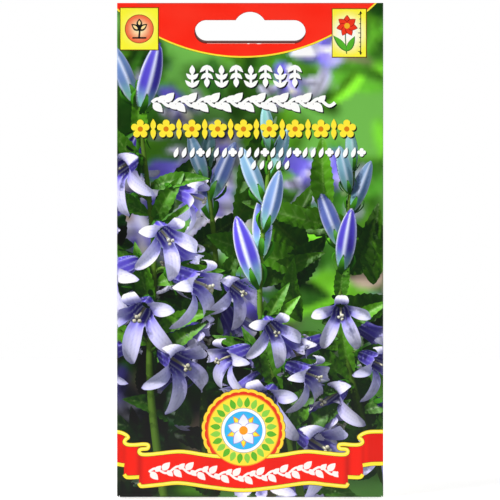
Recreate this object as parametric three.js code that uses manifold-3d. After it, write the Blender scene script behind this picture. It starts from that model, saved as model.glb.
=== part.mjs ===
// Seed packet that hangs from a euro slot: one folded and glued sheet of coated paper,
// with a small sachet of fine seed inside. Millimetres, +Z up. The front panel faces -Y,
// and X runs to the right as the front is seen. The origin is where a peg bears: the top
// of the slot's hump, half way through the packet's thickness.

import * as THREE from "three";
import { mergeVertices } from "three/addons/utils/BufferGeometryUtils.js";
import Module from "manifold-3d";

// Outline of the closed packet
const WIDTH = 80;
const HEIGHT = 148.5;
const SIDE_FLAP = 10.4;
const BOTTOM_FLAP = 13;

// Euro slot: its place below the top edge, its shape, and how far off the back panel's lies
const HUMP_BELOW_TOP = 2.7;
const SLOT_WIDTH = 33.3;
const SLOT_ARM_HEIGHT = 6.9;
const HUMP_HEIGHT = 2.5;
const HUMP_RADIUS = 5.03;
const HUMP_FILLET = 0.45;
const BACK_SLOT_RIGHT = 0.15;
const BACK_SLOT_UP = 0.8;
const PUNCH_REACH = 4;

// Thicknesses through the layers
const PAPER = 0.2;
const GLUE = 0.08;
const GLUE_GAP = 0.16;
const FILM = 0.12;
const FILM_GAP = 0.04;

// How the panels swell over the contents, between the folds, the foot and the top seal
const FRONT_SWELL = 0.75;
const BACK_SWELL = 0.55;
const FLAT_BY_FOLDS = 0.6;
const RISE_FROM_FOOT = 50;
const FALL_TO_SEAL = 62;
const SEAL_HEIGHT = 15.7;

// Free edges of the folded sheet
const BACK_EDGE_INSET = 0.8;
const FREE_EDGE_ABOVE_FOOT = 0.95;
const SIDE_FLAP_SLANT = 0.3;
const BOTTOM_FLAP_INSET = 0.8;
const BOTTOM_FLAP_TAPER = 2.4;
const STEP_CLEARANCE = 0.4;
const STEP_RUN = 2.2;

// Bare margins round the glue
const SEAM_GLUE_MARGIN = 1.3;
const FLAP_GLUE_MARGIN = 4;
const SEAL_GLUE_MARGIN = 0.6;
const SLOT_GLUE_MARGIN = 1;

// Inner sachet and the heap of seed at its foot
const SACHET_WIDTH = 46;
const SACHET_HEIGHT = 62;
const SACHET_ABOVE_FOOT = 5;
const SACHET_RIM = 5;
const SACHET_SWELL = 0.3;
const SACHET_SHOULDER = 6;
const SACHET_NECK = 24;
const SEED_HEAP_WIDTH = 30;
const SEED_HEAP_HEIGHT = 18;
const SEED_HEAP_THICKNESS = 0.52;
const SEED_HEAP_EDGE = 0.04;
const SEED_PITCH = 1.4;

// Fineness of the surfaces
const FOLD_STEPS = 6;
const COLUMN_PITCH = 5;
const ROW_PITCH = 7;
const FLAP_PITCH = 4;
const FILM_PITCH = 3.6;
const SEED_CELLS = 26;

// Levels up the packet and through its layers
const Z_TOP = HUMP_BELOW_TOP;
const Z_FOOT = Z_TOP - HEIGHT;
const Z_SEAL = Z_TOP - SEAL_HEIGHT;
const Z_SACHET = Z_FOOT + SACHET_ABOVE_FOOT;
const LAYER = PAPER + GLUE_GAP;
const Y_FRONT = -LAYER / 2;
const Y_BACK = LAYER / 2;
const Y_SIDE_FLAP = Y_BACK + LAYER;

// Side folds: the left one also wraps the free edge of the back panel
const LEFT_RADIUS = (Y_SIDE_FLAP - Y_FRONT) / 2;
const RIGHT_RADIUS = (Y_BACK - Y_FRONT) / 2;
const X_LEFT_FOLD = -WIDTH / 2 + PAPER / 2 + LEFT_RADIUS;
const X_RIGHT_FOLD = WIDTH / 2 - PAPER / 2 - RIGHT_RADIUS;
const X_BACK_EDGE = -WIDTH / 2 + BACK_EDGE_INSET;
const X_SIDE_FLAP_EDGE = -WIDTH / 2 + SIDE_FLAP;
const X_STEP_START = X_SIDE_FLAP_EDGE + STEP_CLEARANCE;
const X_STEP_END = X_STEP_START + STEP_RUN;

const FORWARD = new THREE.Vector3(0, -1, 0);
const BACKWARD = new THREE.Vector3(0, 1, 0);

function clamp01(t) {
  return Math.min(1, Math.max(0, t));
}

function smooth(t) {
  return THREE.MathUtils.smoothstep(t, 0, 1);
}

// Share of the full swell at a place on the panels: none along the folds and in the seal
function swell(x, z) {
  const fromMiddle = clamp01(Math.abs(x) / (WIDTH / 2 - FLAT_BY_FOLDS));
  const toRise = 1 - clamp01((z - Z_FOOT) / RISE_FROM_FOOT);
  const toFall = 1 - clamp01((Z_SEAL - z) / FALL_TO_SEAL);
  return (1 - fromMiddle ** 3) * (1 - toRise ** 3) * (1 - toFall ** 2);
}

// Level of the bottom flap's mid-surface: it steps down off the side flap to the back panel
function bottomFlapLevel(x) {
  const step = clamp01((x - X_STEP_START) / STEP_RUN);
  return Y_SIDE_FLAP + LAYER * (1 - step);
}

// The bottom fold is wider where it also wraps the side flap
function bottomFold(x) {
  const radius = (bottomFlapLevel(x) - Y_FRONT) / 2;
  return { radius, y: Y_FRONT + radius, z: Z_FOOT + PAPER / 2 + radius };
}

// Evenly divided stations between breakpoints, none further apart than the pitch
function stations(breakpoints, pitch) {
  const out = [breakpoints[0]];
  for (let k = 1; k < breakpoints.length; k += 1) {
    const from = breakpoints[k - 1];
    const span = breakpoints[k] - from;
    const parts = Math.max(1, Math.ceil(Math.abs(span) / pitch));
    for (let s = 1; s <= parts; s += 1) out.push(from + (span * s) / parts);
  }
  return out;
}

// A closed slab between two faces of points over a grid of cells. facesAt gives the outer
// and the inner point at a grid place, and present says which cells hold material.
function slab(columns, rows, facesAt, present = () => true) {
  const positions = [];
  const indices = [];
  const numbered = new Map();

  function corner(i, j) {
    const key = i * (rows + 1) + j;
    if (!numbered.has(key)) {
      numbered.set(key, positions.length / 3);
      facesAt(i, j).forEach((point) => positions.push(point.x, point.y, point.z));
    }
    return numbered.get(key);
  }

  function quad(a, b, c, d) {
    indices.push(a, b, c, a, c, d);
  }

  const holds = (i, j) => i >= 0 && j >= 0 && i < columns && j < rows && present(i, j);
  for (let i = 0; i < columns; i += 1) {
    for (let j = 0; j < rows; j += 1) {
      if (!holds(i, j)) continue;
      const ring = [corner(i, j), corner(i + 1, j), corner(i + 1, j + 1), corner(i, j + 1)];
      quad(ring[0], ring[1], ring[2], ring[3]);
      quad(ring[3] + 1, ring[2] + 1, ring[1] + 1, ring[0] + 1);
      const beyond = [holds(i, j - 1), holds(i + 1, j), holds(i, j + 1), holds(i - 1, j)];
      beyond.forEach((filled, k) => {
        const from = ring[k];
        const to = ring[(k + 1) % 4];
        if (!filled) quad(to, from, from + 1, to + 1);
      });
    }
  }
  const geometry = new THREE.BufferGeometry();
  geometry.setAttribute("position", new THREE.Float32BufferAttribute(positions, 3));
  geometry.setIndex(indices);
  return geometry;
}

// The outer and the inner point either side of a mid-surface
function faces(middle, normal, thickness) {
  return [1, -1].map((side) => middle.clone().addScaledVector(normal, (side * thickness) / 2));
}

const wasm = await Module();
wasm.setup();

function toSolid(geometry) {
  const bare = geometry.clone();
  bare.deleteAttribute("normal");
  bare.deleteAttribute("uv");
  const merged = mergeVertices(bare, 1e-5);
  return new wasm.Manifold(new wasm.Mesh({
    numProp: 3,
    vertProperties: new Float32Array(merged.attributes.position.array),
    triVerts: new Uint32Array(merged.index.array),
  }));
}

function toGeometry(solid) {
  const mesh = solid.getMesh();
  const geometry = new THREE.BufferGeometry();
  geometry.setAttribute("position", new THREE.BufferAttribute(mesh.vertProperties, 3));
  geometry.setIndex(new THREE.BufferAttribute(mesh.triVerts, 1));
  return geometry;
}

// The euro slot's outline, or one round it at a margin: two round-ended arms and a filleted
// hump over their middle
function slotOutline(margin) {
  const quarter = Math.PI / 2;
  const endRadius = SLOT_ARM_HEIGHT / 2 + margin;
  const endX = (SLOT_WIDTH - SLOT_ARM_HEIGHT) / 2;
  const armTop = margin - HUMP_HEIGHT;
  const armMiddle = armTop - endRadius;
  const humpRadius = HUMP_RADIUS + margin;
  const humpCentre = -HUMP_RADIUS;
  const filletCentre = armTop + HUMP_FILLET;
  const reach = humpRadius + HUMP_FILLET;
  const filletX = Math.sqrt(reach ** 2 - (filletCentre - humpCentre) ** 2);
  const tangent = Math.atan2(filletCentre - humpCentre, filletX);

  const outline = new THREE.Shape();
  outline.moveTo(-endX, armMiddle - endRadius);
  outline.lineTo(endX, armMiddle - endRadius);
  outline.absarc(endX, armMiddle, endRadius, -quarter, quarter, false);
  outline.lineTo(filletX, armTop);
  outline.absarc(filletX, filletCentre, HUMP_FILLET, -quarter, tangent - Math.PI, true);
  outline.absarc(0, humpCentre, humpRadius, tangent, Math.PI - tangent, false);
  outline.absarc(-filletX, filletCentre, HUMP_FILLET, -tangent, -quarter, true);
  outline.lineTo(-endX, armTop);
  outline.absarc(-endX, armMiddle, endRadius, quarter, 3 * quarter, false);
  return outline;
}

// A punch of the slot's shape between two depths through the layers
function slotPunch(from, to, { margin = 0, right = 0, up = 0 } = {}) {
  const shape = { depth: to - from, bevelEnabled: false, curveSegments: 10 };
  const punch = new THREE.ExtrudeGeometry(slotOutline(margin), shape);
  punch.rotateX(Math.PI / 2);
  punch.translate(right, to, up);
  return toSolid(punch);
}

function punched(geometry, punches) {
  const solid = punches.reduce((rest, punch) => rest.subtract(punch), toSolid(geometry));
  return toGeometry(solid);
}

// The sheet's columns run from the side flap's free edge, round the left fold, over the
// front, round the right fold and along the back to its free edge.
function envelopeColumns() {
  const flap = stations([X_SIDE_FLAP_EDGE, X_LEFT_FOLD], FLAP_PITCH);
  const front = stations([
    X_LEFT_FOLD, X_LEFT_FOLD + BOTTOM_FLAP_INSET, X_STEP_START, X_STEP_END,
    X_RIGHT_FOLD - BOTTOM_FLAP_INSET, X_RIGHT_FOLD,
  ], COLUMN_PITCH);
  const back = stations([X_RIGHT_FOLD, X_BACK_EDGE], COLUMN_PITCH);
  const turns = stations([0, Math.PI], Math.PI / FOLD_STEPS).slice(1, -1);
  const panel = (zone, xs) => xs.map((x) => ({ zone, x }));
  const fold = (zone, from) => turns.map((turn) => ({ zone, angle: from + turn }));
  return [
    ...panel("side flap", flap),
    ...fold("left fold", Math.PI / 2),
    ...panel("front", front),
    ...fold("right fold", -Math.PI / 2),
    ...panel("back", back),
  ];
}

// Rows run from the bottom flap's free edge, round the bottom fold and up the panels
function envelopeRows() {
  const flap = stations([BOTTOM_FLAP, 0], FLAP_PITCH);
  const turns = stations([0, Math.PI], Math.PI / FOLD_STEPS).slice(1, -1);
  const foot = Z_FOOT + FREE_EDGE_ABOVE_FOOT;
  const panel = stations([foot, Z_FOOT + BOTTOM_FLAP, Z_SEAL, Z_TOP], ROW_PITCH);
  return [
    ...flap.map((height) => ({ zone: "bottom flap", height })),
    ...turns.map((turn) => ({ zone: "bottom fold", angle: Math.PI / 2 + turn })),
    ...panel.map((z) => ({ zone: "panel", z, lowest: z === foot })),
  ];
}

// Foot of a column: the front meets the bottom fold, and the free edges stop above it
function footOf(column) {
  const corner = Z_FOOT + PAPER / 2;
  const free = Z_FOOT + FREE_EDGE_ABOVE_FOOT;
  if (column.zone === "front") {
    const atFold = column.x === X_LEFT_FOLD || column.x === X_RIGHT_FOLD;
    return atFold ? corner : bottomFold(column.x).z;
  }
  if (column.zone === "left fold") return free + (corner - free) * (column.angle / Math.PI - 0.5);
  if (column.zone === "right fold") return corner + (free - corner) * (column.angle / Math.PI + 0.5);
  if (column.zone === "back") return free;
  return free + SIDE_FLAP_SLANT * (column.x - X_LEFT_FOLD);
}

function headOf(column) {
  const slant = column.zone === "side flap" ? SIDE_FLAP_SLANT * (column.x - X_LEFT_FOLD) : 0;
  return Z_TOP - slant;
}

function panelFaces(column, row) {
  const z = row.lowest ? footOf(column) : Math.min(row.z, headOf(column));
  if ("angle" in column) {
    const [x, radius] = column.zone === "left fold"
      ? [X_LEFT_FOLD, LEFT_RADIUS]
      : [X_RIGHT_FOLD, RIGHT_RADIUS];
    const normal = new THREE.Vector3(Math.cos(column.angle), Math.sin(column.angle), 0);
    const middle = new THREE.Vector3(x, Y_FRONT + radius, z).addScaledVector(normal, radius);
    return faces(middle, normal, PAPER);
  }
  const share = swell(column.x, z);
  if (column.zone === "front") {
    return faces(new THREE.Vector3(column.x, Y_FRONT - FRONT_SWELL * share, z), FORWARD, PAPER);
  }
  const level = column.zone === "back" ? Y_BACK : Y_SIDE_FLAP;
  return faces(new THREE.Vector3(column.x, level + BACK_SWELL * share, z), BACKWARD, PAPER);
}

function bottomFlapFaces(column, row) {
  const fold = bottomFold(column.x);
  if (row.zone === "bottom fold") {
    const normal = new THREE.Vector3(0, Math.sin(row.angle), Math.cos(row.angle));
    const middle = new THREE.Vector3(column.x, fold.y, fold.z).addScaledVector(normal, fold.radius);
    return faces(middle, normal, PAPER);
  }
  const share = row.height / BOTTOM_FLAP;
  const outermost = Math.abs(column.x) > WIDTH / 2 - 2 * BOTTOM_FLAP_INSET;
  const x = column.x - (outermost ? Math.sign(column.x) * BOTTOM_FLAP_TAPER * share : 0);
  const z = fold.z + (Z_FOOT + BOTTOM_FLAP - fold.z) * share;
  const y = bottomFlapLevel(x) + BACK_SWELL * swell(x, z);
  return faces(new THREE.Vector3(x, y, z), BACKWARD, PAPER);
}

function envelopeSheet() {
  const columns = envelopeColumns();
  const rows = envelopeRows();
  const firstPanelRow = rows.findIndex((row) => row.zone === "panel");
  const bottomFlapHolds = (i) => columns[i].zone === "front"
    && columns[i].x > X_LEFT_FOLD
    && columns[i + 1].x < X_RIGHT_FOLD;
  return slab(
    columns.length - 1,
    rows.length - 1,
    (i, j) => (j < firstPanelRow ? bottomFlapFaces : panelFaces)(columns[i], rows[j]),
    (i, j) => j >= firstPanelRow || bottomFlapHolds(i),
  );
}

// A thin sheet over stations in X and Z, with its mid-surface at the given level
function thinSheet(xs, zs, thickness, levelAt) {
  return slab(xs.length - 1, zs.length - 1, (i, j) => {
    const middle = new THREE.Vector3(xs[i], levelAt(xs[i], zs[j]), zs[j]);
    return faces(middle, FORWARD, thickness);
  });
}

// Adhesive between the back panel and the side flap
function sideSeamGlue() {
  const xs = stations([X_LEFT_FOLD + SEAM_GLUE_MARGIN, X_SIDE_FLAP_EDGE - SEAM_GLUE_MARGIN], FLAP_PITCH);
  const foot = Z_FOOT + FLAP_GLUE_MARGIN;
  const zs = stations([foot, Z_FOOT + BOTTOM_FLAP, Z_SEAL, Z_TOP - FLAP_GLUE_MARGIN], ROW_PITCH);
  const level = (Y_BACK + Y_SIDE_FLAP) / 2;
  return thinSheet(xs, zs, GLUE, (x, z) => level + BACK_SWELL * swell(x, z));
}

// Adhesive under the bottom flap, which steps down with it
function bottomFlapGlue() {
  const left = X_LEFT_FOLD + FLAP_GLUE_MARGIN;
  const right = X_RIGHT_FOLD - FLAP_GLUE_MARGIN;
  const xs = stations([left, X_STEP_START, X_STEP_END, right], COLUMN_PITCH);
  const foot = Z_FOOT + FLAP_GLUE_MARGIN;
  const zs = stations([foot, Z_FOOT + BOTTOM_FLAP - SEAM_GLUE_MARGIN], FLAP_PITCH);
  const level = (x) => bottomFlapLevel(x) - LAYER / 2;
  return thinSheet(xs, zs, GLUE, (x, z) => level(x) + BACK_SWELL * swell(x, z));
}

// Adhesive that closes the header, clear of the slot
function topSealGlue() {
  const xs = [X_LEFT_FOLD + SEAM_GLUE_MARGIN, X_RIGHT_FOLD - SEAM_GLUE_MARGIN];
  const zs = [Z_SEAL + SEAL_GLUE_MARGIN, Z_TOP - SEAL_GLUE_MARGIN];
  const clearance = slotPunch(-PUNCH_REACH, PUNCH_REACH, { margin: SLOT_GLUE_MARGIN });
  return punched(thinSheet(xs, zs, GLUE, () => 0), [clearance]);
}

// The contents lie midway between the two panels
function contentsLevel(x, z) {
  return ((BACK_SWELL - FRONT_SWELL) / 2) * swell(x, z);
}

// Share of the sachet's own swell: none on the sealed rim
function pouch(x, z) {
  const fromSide = SACHET_WIDTH / 2 - SACHET_RIM - Math.abs(x);
  const fromFoot = z - Z_SACHET - SACHET_RIM;
  const fromHead = SACHET_HEIGHT - 2 * SACHET_RIM - fromFoot;
  return smooth(fromSide / SACHET_SHOULDER)
    * smooth(fromFoot / SACHET_SHOULDER)
    * smooth(fromHead / SACHET_NECK);
}

// One film of the sachet: side is -1 for the front one and 1 for the back one
function sachetFilm(side) {
  const edge = SACHET_WIDTH / 2;
  const xs = stations([-edge, SACHET_RIM - edge, edge - SACHET_RIM, edge], FILM_PITCH);
  const head = Z_SACHET + SACHET_HEIGHT;
  const zs = stations([Z_SACHET, Z_SACHET + SACHET_RIM, head - SACHET_RIM, head], FLAP_PITCH);
  const rim = (FILM_GAP + FILM) / 2;
  const level = (x, z) => contentsLevel(x, z) + side * (rim + SACHET_SWELL * pouch(x, z));
  return thinSheet(xs, zs, FILM, level);
}

// The heap of seed: a thin lens on a square grid drawn round, its faces raised into seeds
function seedHeap() {
  const grain = (2 * Math.PI) / SEED_PITCH;
  const centre = Z_SACHET + SACHET_RIM + SEED_HEAP_HEIGHT / 2;
  return slab(SEED_CELLS, SEED_CELLS, (i, j) => {
    const [u, v] = [i, j].map((k) => (2 * k) / SEED_CELLS - 1);
    const across = u * Math.sqrt(1 - (v * v) / 2);
    const up = v * Math.sqrt(1 - (u * u) / 2);
    const x = (SEED_HEAP_WIDTH / 2) * across;
    const z = centre + (SEED_HEAP_HEIGHT / 2) * up;
    const crown = Math.sqrt(clamp01(1 - across ** 2 - up ** 2));
    const relief = 0.7 + 0.3 * Math.sin(grain * x) * Math.cos(grain * z);
    const room = SEED_HEAP_THICKNESS - SEED_HEAP_EDGE;
    const thickness = SEED_HEAP_EDGE + room * crown * relief * pouch(x, z);
    return faces(new THREE.Vector3(x, contentsLevel(x, z), z), FORWARD, thickness);
  });
}

function finish(color, roughness) {
  return new THREE.MeshStandardMaterial({ color, roughness, metalness: 0 });
}

// Seen from a distance the print's violet flowers and leaves mix to a grey green
const printedPaper = finish(0x707e72, 0.35);
const adhesive = finish(0xf1ecd8, 0.5);
const clearFilm = finish(0xdfe6ea, 0.2);
const seedCoat = finish(0x6a4526, 0.8);

const packet = new THREE.Group();

function add(name, geometry, material) {
  const mesh = new THREE.Mesh(geometry, material);
  mesh.name = name;
  packet.add(mesh);
}

const slotPunches = [
  slotPunch(-PUNCH_REACH, 0),
  slotPunch(0, PUNCH_REACH, { right: BACK_SLOT_RIGHT, up: BACK_SLOT_UP }),
];
add("envelope", punched(envelopeSheet(), slotPunches), printedPaper);
add("glue_side_seam", sideSeamGlue(), adhesive.clone());
add("glue_bottom_flap", bottomFlapGlue(), adhesive.clone());
add("glue_top_seal", topSealGlue(), adhesive.clone());
add("sachet_front_film", sachetFilm(-1), clearFilm.clone());
add("sachet_back_film", sachetFilm(1), clearFilm.clone());
add("seeds", seedHeap(), seedCoat);

export default packet;
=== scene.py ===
# A printed paper seed packet with a euro slot, hanging upright. The sheet is drawn flat, as it is
# printed and cut, and then folded the way the packet is folded. Places on the artwork are in
# millimetres: across from the middle of the front, and up from the slot's hump.

import math

import bmesh
import bpy
import numpy as np
from mathutils import Matrix, Vector
from mathutils.bvhtree import BVHTree
from mathutils.geometry import convex_hull_2d, delaunay_2d_cdt


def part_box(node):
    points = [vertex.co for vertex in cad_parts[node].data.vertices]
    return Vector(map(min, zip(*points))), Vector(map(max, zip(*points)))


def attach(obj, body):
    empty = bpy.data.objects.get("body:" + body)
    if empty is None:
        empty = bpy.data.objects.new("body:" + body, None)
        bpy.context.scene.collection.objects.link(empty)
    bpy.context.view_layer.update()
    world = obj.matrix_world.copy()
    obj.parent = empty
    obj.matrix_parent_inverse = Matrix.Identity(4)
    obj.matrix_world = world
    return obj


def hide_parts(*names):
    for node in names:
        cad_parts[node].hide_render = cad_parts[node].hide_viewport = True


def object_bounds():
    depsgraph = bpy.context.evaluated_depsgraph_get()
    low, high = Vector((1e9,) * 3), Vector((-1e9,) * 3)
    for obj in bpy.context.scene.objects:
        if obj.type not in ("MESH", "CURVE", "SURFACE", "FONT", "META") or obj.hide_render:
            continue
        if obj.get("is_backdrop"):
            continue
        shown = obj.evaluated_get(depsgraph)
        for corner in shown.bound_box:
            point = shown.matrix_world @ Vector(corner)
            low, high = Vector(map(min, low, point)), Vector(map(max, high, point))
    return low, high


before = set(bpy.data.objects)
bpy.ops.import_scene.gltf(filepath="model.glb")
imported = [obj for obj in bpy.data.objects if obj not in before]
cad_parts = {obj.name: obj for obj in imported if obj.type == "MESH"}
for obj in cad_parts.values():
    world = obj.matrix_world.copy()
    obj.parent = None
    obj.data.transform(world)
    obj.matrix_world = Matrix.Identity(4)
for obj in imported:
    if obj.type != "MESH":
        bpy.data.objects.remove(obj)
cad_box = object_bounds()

MM = 0.001
PI = math.pi
GOLDEN_TURN = PI * (3 - math.sqrt(5))

# The packet's outline, from the frame
LOW, HIGH = (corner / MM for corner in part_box("envelope"))
WIDTH = HIGH.x - LOW.x
Z_TOP = HIGH.z
Z_FOOT = LOW.z

# The folded sheet, as it is built
SIDE_FLAP = 10.4
BOTTOM_FLAP = 13
PAPER = 0.2
LAYER = 0.36
FRONT_SWELL = 0.75
BACK_SWELL = 0.55
FLAT_BY_FOLDS = 0.6
RISE_FROM_FOOT = 50
FALL_TO_SEAL = 62
SEAL_HEIGHT = 15.7
BACK_EDGE_INSET = 0.8
FREE_EDGE_ABOVE_FOOT = 0.95
SIDE_FLAP_SLANT = 0.3
BOTTOM_FLAP_INSET = 0.3
BOTTOM_FLAP_TAPER = 2.4
STEP_CLEARANCE = 0.4
STEP_RUN = 2.2

# The slight roll of the whole packet out of its plane
HEADER_ROLL = 0.07
ROLL_LENGTH = 6.5
ROLL_START = 0.8
ROLL_BELOW_SEAL = 5
ROLL_FADE = 8
EDGE_LEAN = 0.08
TWIST = 0.10

# The euro slot
SLOT_WIDTH = 33.3
SLOT_ARM_HEIGHT = 6.9
HUMP_HEIGHT = 2.5
HUMP_RADIUS = 5.03
BACK_SLOT_SHIFT = (0.15, 0.8)

Z_SEAL = Z_TOP - SEAL_HEIGHT
Y_FRONT = -LAYER / 2
Y_BACK = LAYER / 2
Y_SIDE_FLAP = Y_BACK + LAYER
LEFT_RADIUS = (Y_SIDE_FLAP - Y_FRONT) / 2
RIGHT_RADIUS = (Y_BACK - Y_FRONT) / 2
X_LEFT = -WIDTH / 2 + PAPER / 2 + LEFT_RADIUS
X_RIGHT = WIDTH / 2 - PAPER / 2 - RIGHT_RADIUS
X_BACK_EDGE = -WIDTH / 2 + BACK_EDGE_INSET
X_FLAP_EDGE = -WIDTH / 2 + SIDE_FLAP
X_STEP = X_FLAP_EDGE + STEP_CLEARANCE

# Places across the flat sheet where its panels end
S_BACK = X_RIGHT + PI * RIGHT_RADIUS
S_BACK_EDGE = S_BACK + X_RIGHT - X_BACK_EDGE
S_FLAP = X_LEFT - PI * LEFT_RADIUS
S_FLAP_EDGE = S_FLAP - (X_FLAP_EDGE - X_LEFT)
S_FLAP_COVER = S_BACK + X_RIGHT - X_FLAP_EDGE


def ink(code):
    """An sRGB hex colour in linear light."""
    srgb = np.array([int(code[k:k + 2], 16) / 255 for k in (1, 3, 5)])
    return np.where(srgb <= 0.04045, srgb / 12.92, ((srgb + 0.055) / 1.055) ** 2.4)


def smooth(t):
    """A share that leaves 0 and reaches 1 gently."""
    t = np.clip(t, 0, 1)
    return t * t * (3 - 2 * t)


def band(place, middle, width):
    """A share that is 1 on a line and fades away on both sides of it."""
    return np.exp(-((place - middle) / width) ** 2)


def mix(a, b, share):
    """Colours that run from one to another by a share at each place."""
    return a + (b - a) * np.asarray(share)[..., None]


def unit(v):
    """Vectors of the same direction and of length one."""
    v = np.asarray(v, float)
    return v / np.linalg.norm(v, axis=-1, keepdims=True)


# The fold: from the flat sheet to the folded packet

def swell(x, z):
    """The share of the panels' swell: none at the packet's edges and in its sealed header."""
    from_middle = np.clip(np.abs(x) / (WIDTH / 2 - FLAT_BY_FOLDS), 0, 1)
    to_rise = 1 - np.clip((z - Z_FOOT) / RISE_FROM_FOOT, 0, 1)
    to_fall = 1 - np.clip((Z_SEAL - z) / FALL_TO_SEAL, 0, 1)
    return (1 - from_middle ** 3) * (1 - to_rise ** 3) * (1 - to_fall ** 2)


def sway(x, z):
    """How far the whole packet, all its layers together, rolls out of its plane."""
    across = x / (WIDTH / 2)
    up = (z - (Z_TOP + Z_FOOT) / 2) / ((Z_TOP - Z_FOOT) / 2)
    in_header = smooth((z - Z_SEAL + ROLL_BELOW_SEAL) / ROLL_FADE)
    header_roll = HEADER_ROLL * np.sin(x / ROLL_LENGTH + ROLL_START) * in_header
    return header_roll - EDGE_LEAN * across ** 2 - TWIST * across * up


def bottom_flap_level(x):
    """The bottom flap's level: a layer further out where it lies over the side flap."""
    return Y_SIDE_FLAP + LAYER * (1 - np.clip((x - X_STEP) / STEP_RUN, 0, 1))


def bottom_fold(x):
    """The radius of the fold at the foot, and the height at which it begins."""
    radius = (bottom_flap_level(x) - Y_FRONT) / 2
    return radius, Z_FOOT + PAPER / 2 + radius


def fold(flat, side=1):
    """Where places on the flat sheet come to lie: on its printed face, or its plain one (-1)."""
    s, t = flat[:, 0], flat[:, 1]
    x, z = s.copy(), t.copy()
    y = np.full(len(s), Y_FRONT)
    normal = np.tile([0.0, -1.0, 0.0], (len(s), 1))
    amount = np.full(len(s), -FRONT_SWELL)

    for way, edge, radius in ((-1, X_LEFT, LEFT_RADIUS), (1, X_RIGHT, RIGHT_RADIUS)):
        past = way * (s - edge)
        beyond = past > 0
        turn = np.clip(past / radius, 0, PI)
        rest = np.maximum(0, past - PI * radius)
        x = np.where(beyond, edge + way * (radius * np.sin(turn) - rest), x)
        y = np.where(beyond, Y_FRONT + radius * (1 - np.cos(turn)), y)
        normal[beyond] = np.stack([way * np.sin(turn), -np.cos(turn), 0 * turn], 1)[beyond]
        amount[beyond] = BACK_SWELL

    radius, fold_z = bottom_fold(x)
    below = (t < fold_z) & (s > X_LEFT + BOTTOM_FLAP_INSET / 2) & (s < X_RIGHT - BOTTOM_FLAP_INSET / 2)
    turn = np.clip((fold_z - t) / radius, 0, PI)
    rest = np.maximum(0, fold_z - t - PI * radius)
    y = np.where(below, Y_FRONT + radius * (1 - np.cos(turn)), y)
    z = np.where(below, fold_z - radius * np.sin(turn) + rest, z)
    normal[below] = np.stack([0 * turn, -np.cos(turn), -np.sin(turn)], 1)[below]
    amount[below] = np.where(rest > 0, BACK_SWELL, 0)[below]

    y = y + amount * swell(x, z) + sway(x, z)
    return np.stack([x, y, z], 1) + normal * side * PAPER / 2


# Outlines, all anticlockwise

def arc(centre, radius, start, end, steps):
    """Places along an arc, both its ends among them."""
    angles = np.linspace(start, end, steps + 1)
    return np.stack([centre[0] + radius * np.cos(angles), centre[1] + radius * np.sin(angles)], 1)


def disc(centre, radius, steps=40):
    """A circle's outline."""
    return arc(centre, radius, 0, 2 * PI, steps)[:-1]


def block(left, bottom, right, top):
    """A rectangle's outline."""
    return np.array([(left, bottom), (right, bottom), (right, top), (left, top)], float)


def placed(local, foot, heading):
    """An outline drawn along the first axis, turned to its heading and set on its foot."""
    cos, sin = math.cos(heading), math.sin(heading)
    return np.asarray(local, float) @ np.array([[cos, sin], [-sin, cos]]) + np.asarray(foot, float)


def path_through(places, steps):
    """A smooth path through a few places, in two or three dimensions."""
    places = np.asarray(places, float)
    along = np.linspace(0, len(places) - 1, steps)
    start = np.clip(along.astype(int), 0, len(places) - 2)
    part = (along - start)[:, None]
    a, b = places[start], places[start + 1]
    before = places[np.maximum(start - 1, 0)]
    after = places[np.minimum(start + 2, len(places) - 1)]
    return 0.5 * (2 * a + (b - before) * part + (2 * before - 5 * a + 4 * b - after) * part ** 2
                  + (3 * a - before - 3 * b + after) * part ** 3)


def stroke(path, width):
    """A band of even width along a path."""
    path = np.asarray(path, float)
    ahead = unit(np.gradient(path, axis=0))
    side = np.stack([-ahead[:, 1], ahead[:, 0]], 1)
    return np.concatenate([path - side * width / 2, (path + side * width / 2)[::-1]])


def leaf_width(v):
    """A leaf's width along its length, as a share of its greatest: widest before its middle."""
    return np.sin(PI * v ** 0.8) ** 0.9


def leaf_shape(foot, length, width, heading, curl=0.0):
    """A pointed leaf lying along its heading."""
    v = np.linspace(0, 1, 9)
    half = width / 2 * leaf_width(v)
    bow = curl * length * v ** 2
    under = np.stack([v * length, bow - half], 1)
    over = np.stack([v * length, bow + half], 1)[-2:0:-1]
    return placed(np.concatenate([under, over]), foot, heading)


def bloom_shape(centre, radius, petals, depth, turn=PI / 2):
    """A flower seen from the front, its round petals parted as deep as the share given."""
    angle = np.linspace(0, 2 * PI, petals * 10, endpoint=False)
    reach = radius * (1 - depth + depth * np.abs(np.cos(petals * angle / 2)) ** 0.6)
    return placed(np.stack([reach * np.cos(angle), reach * np.sin(angle)], 1), centre, turn)


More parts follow.
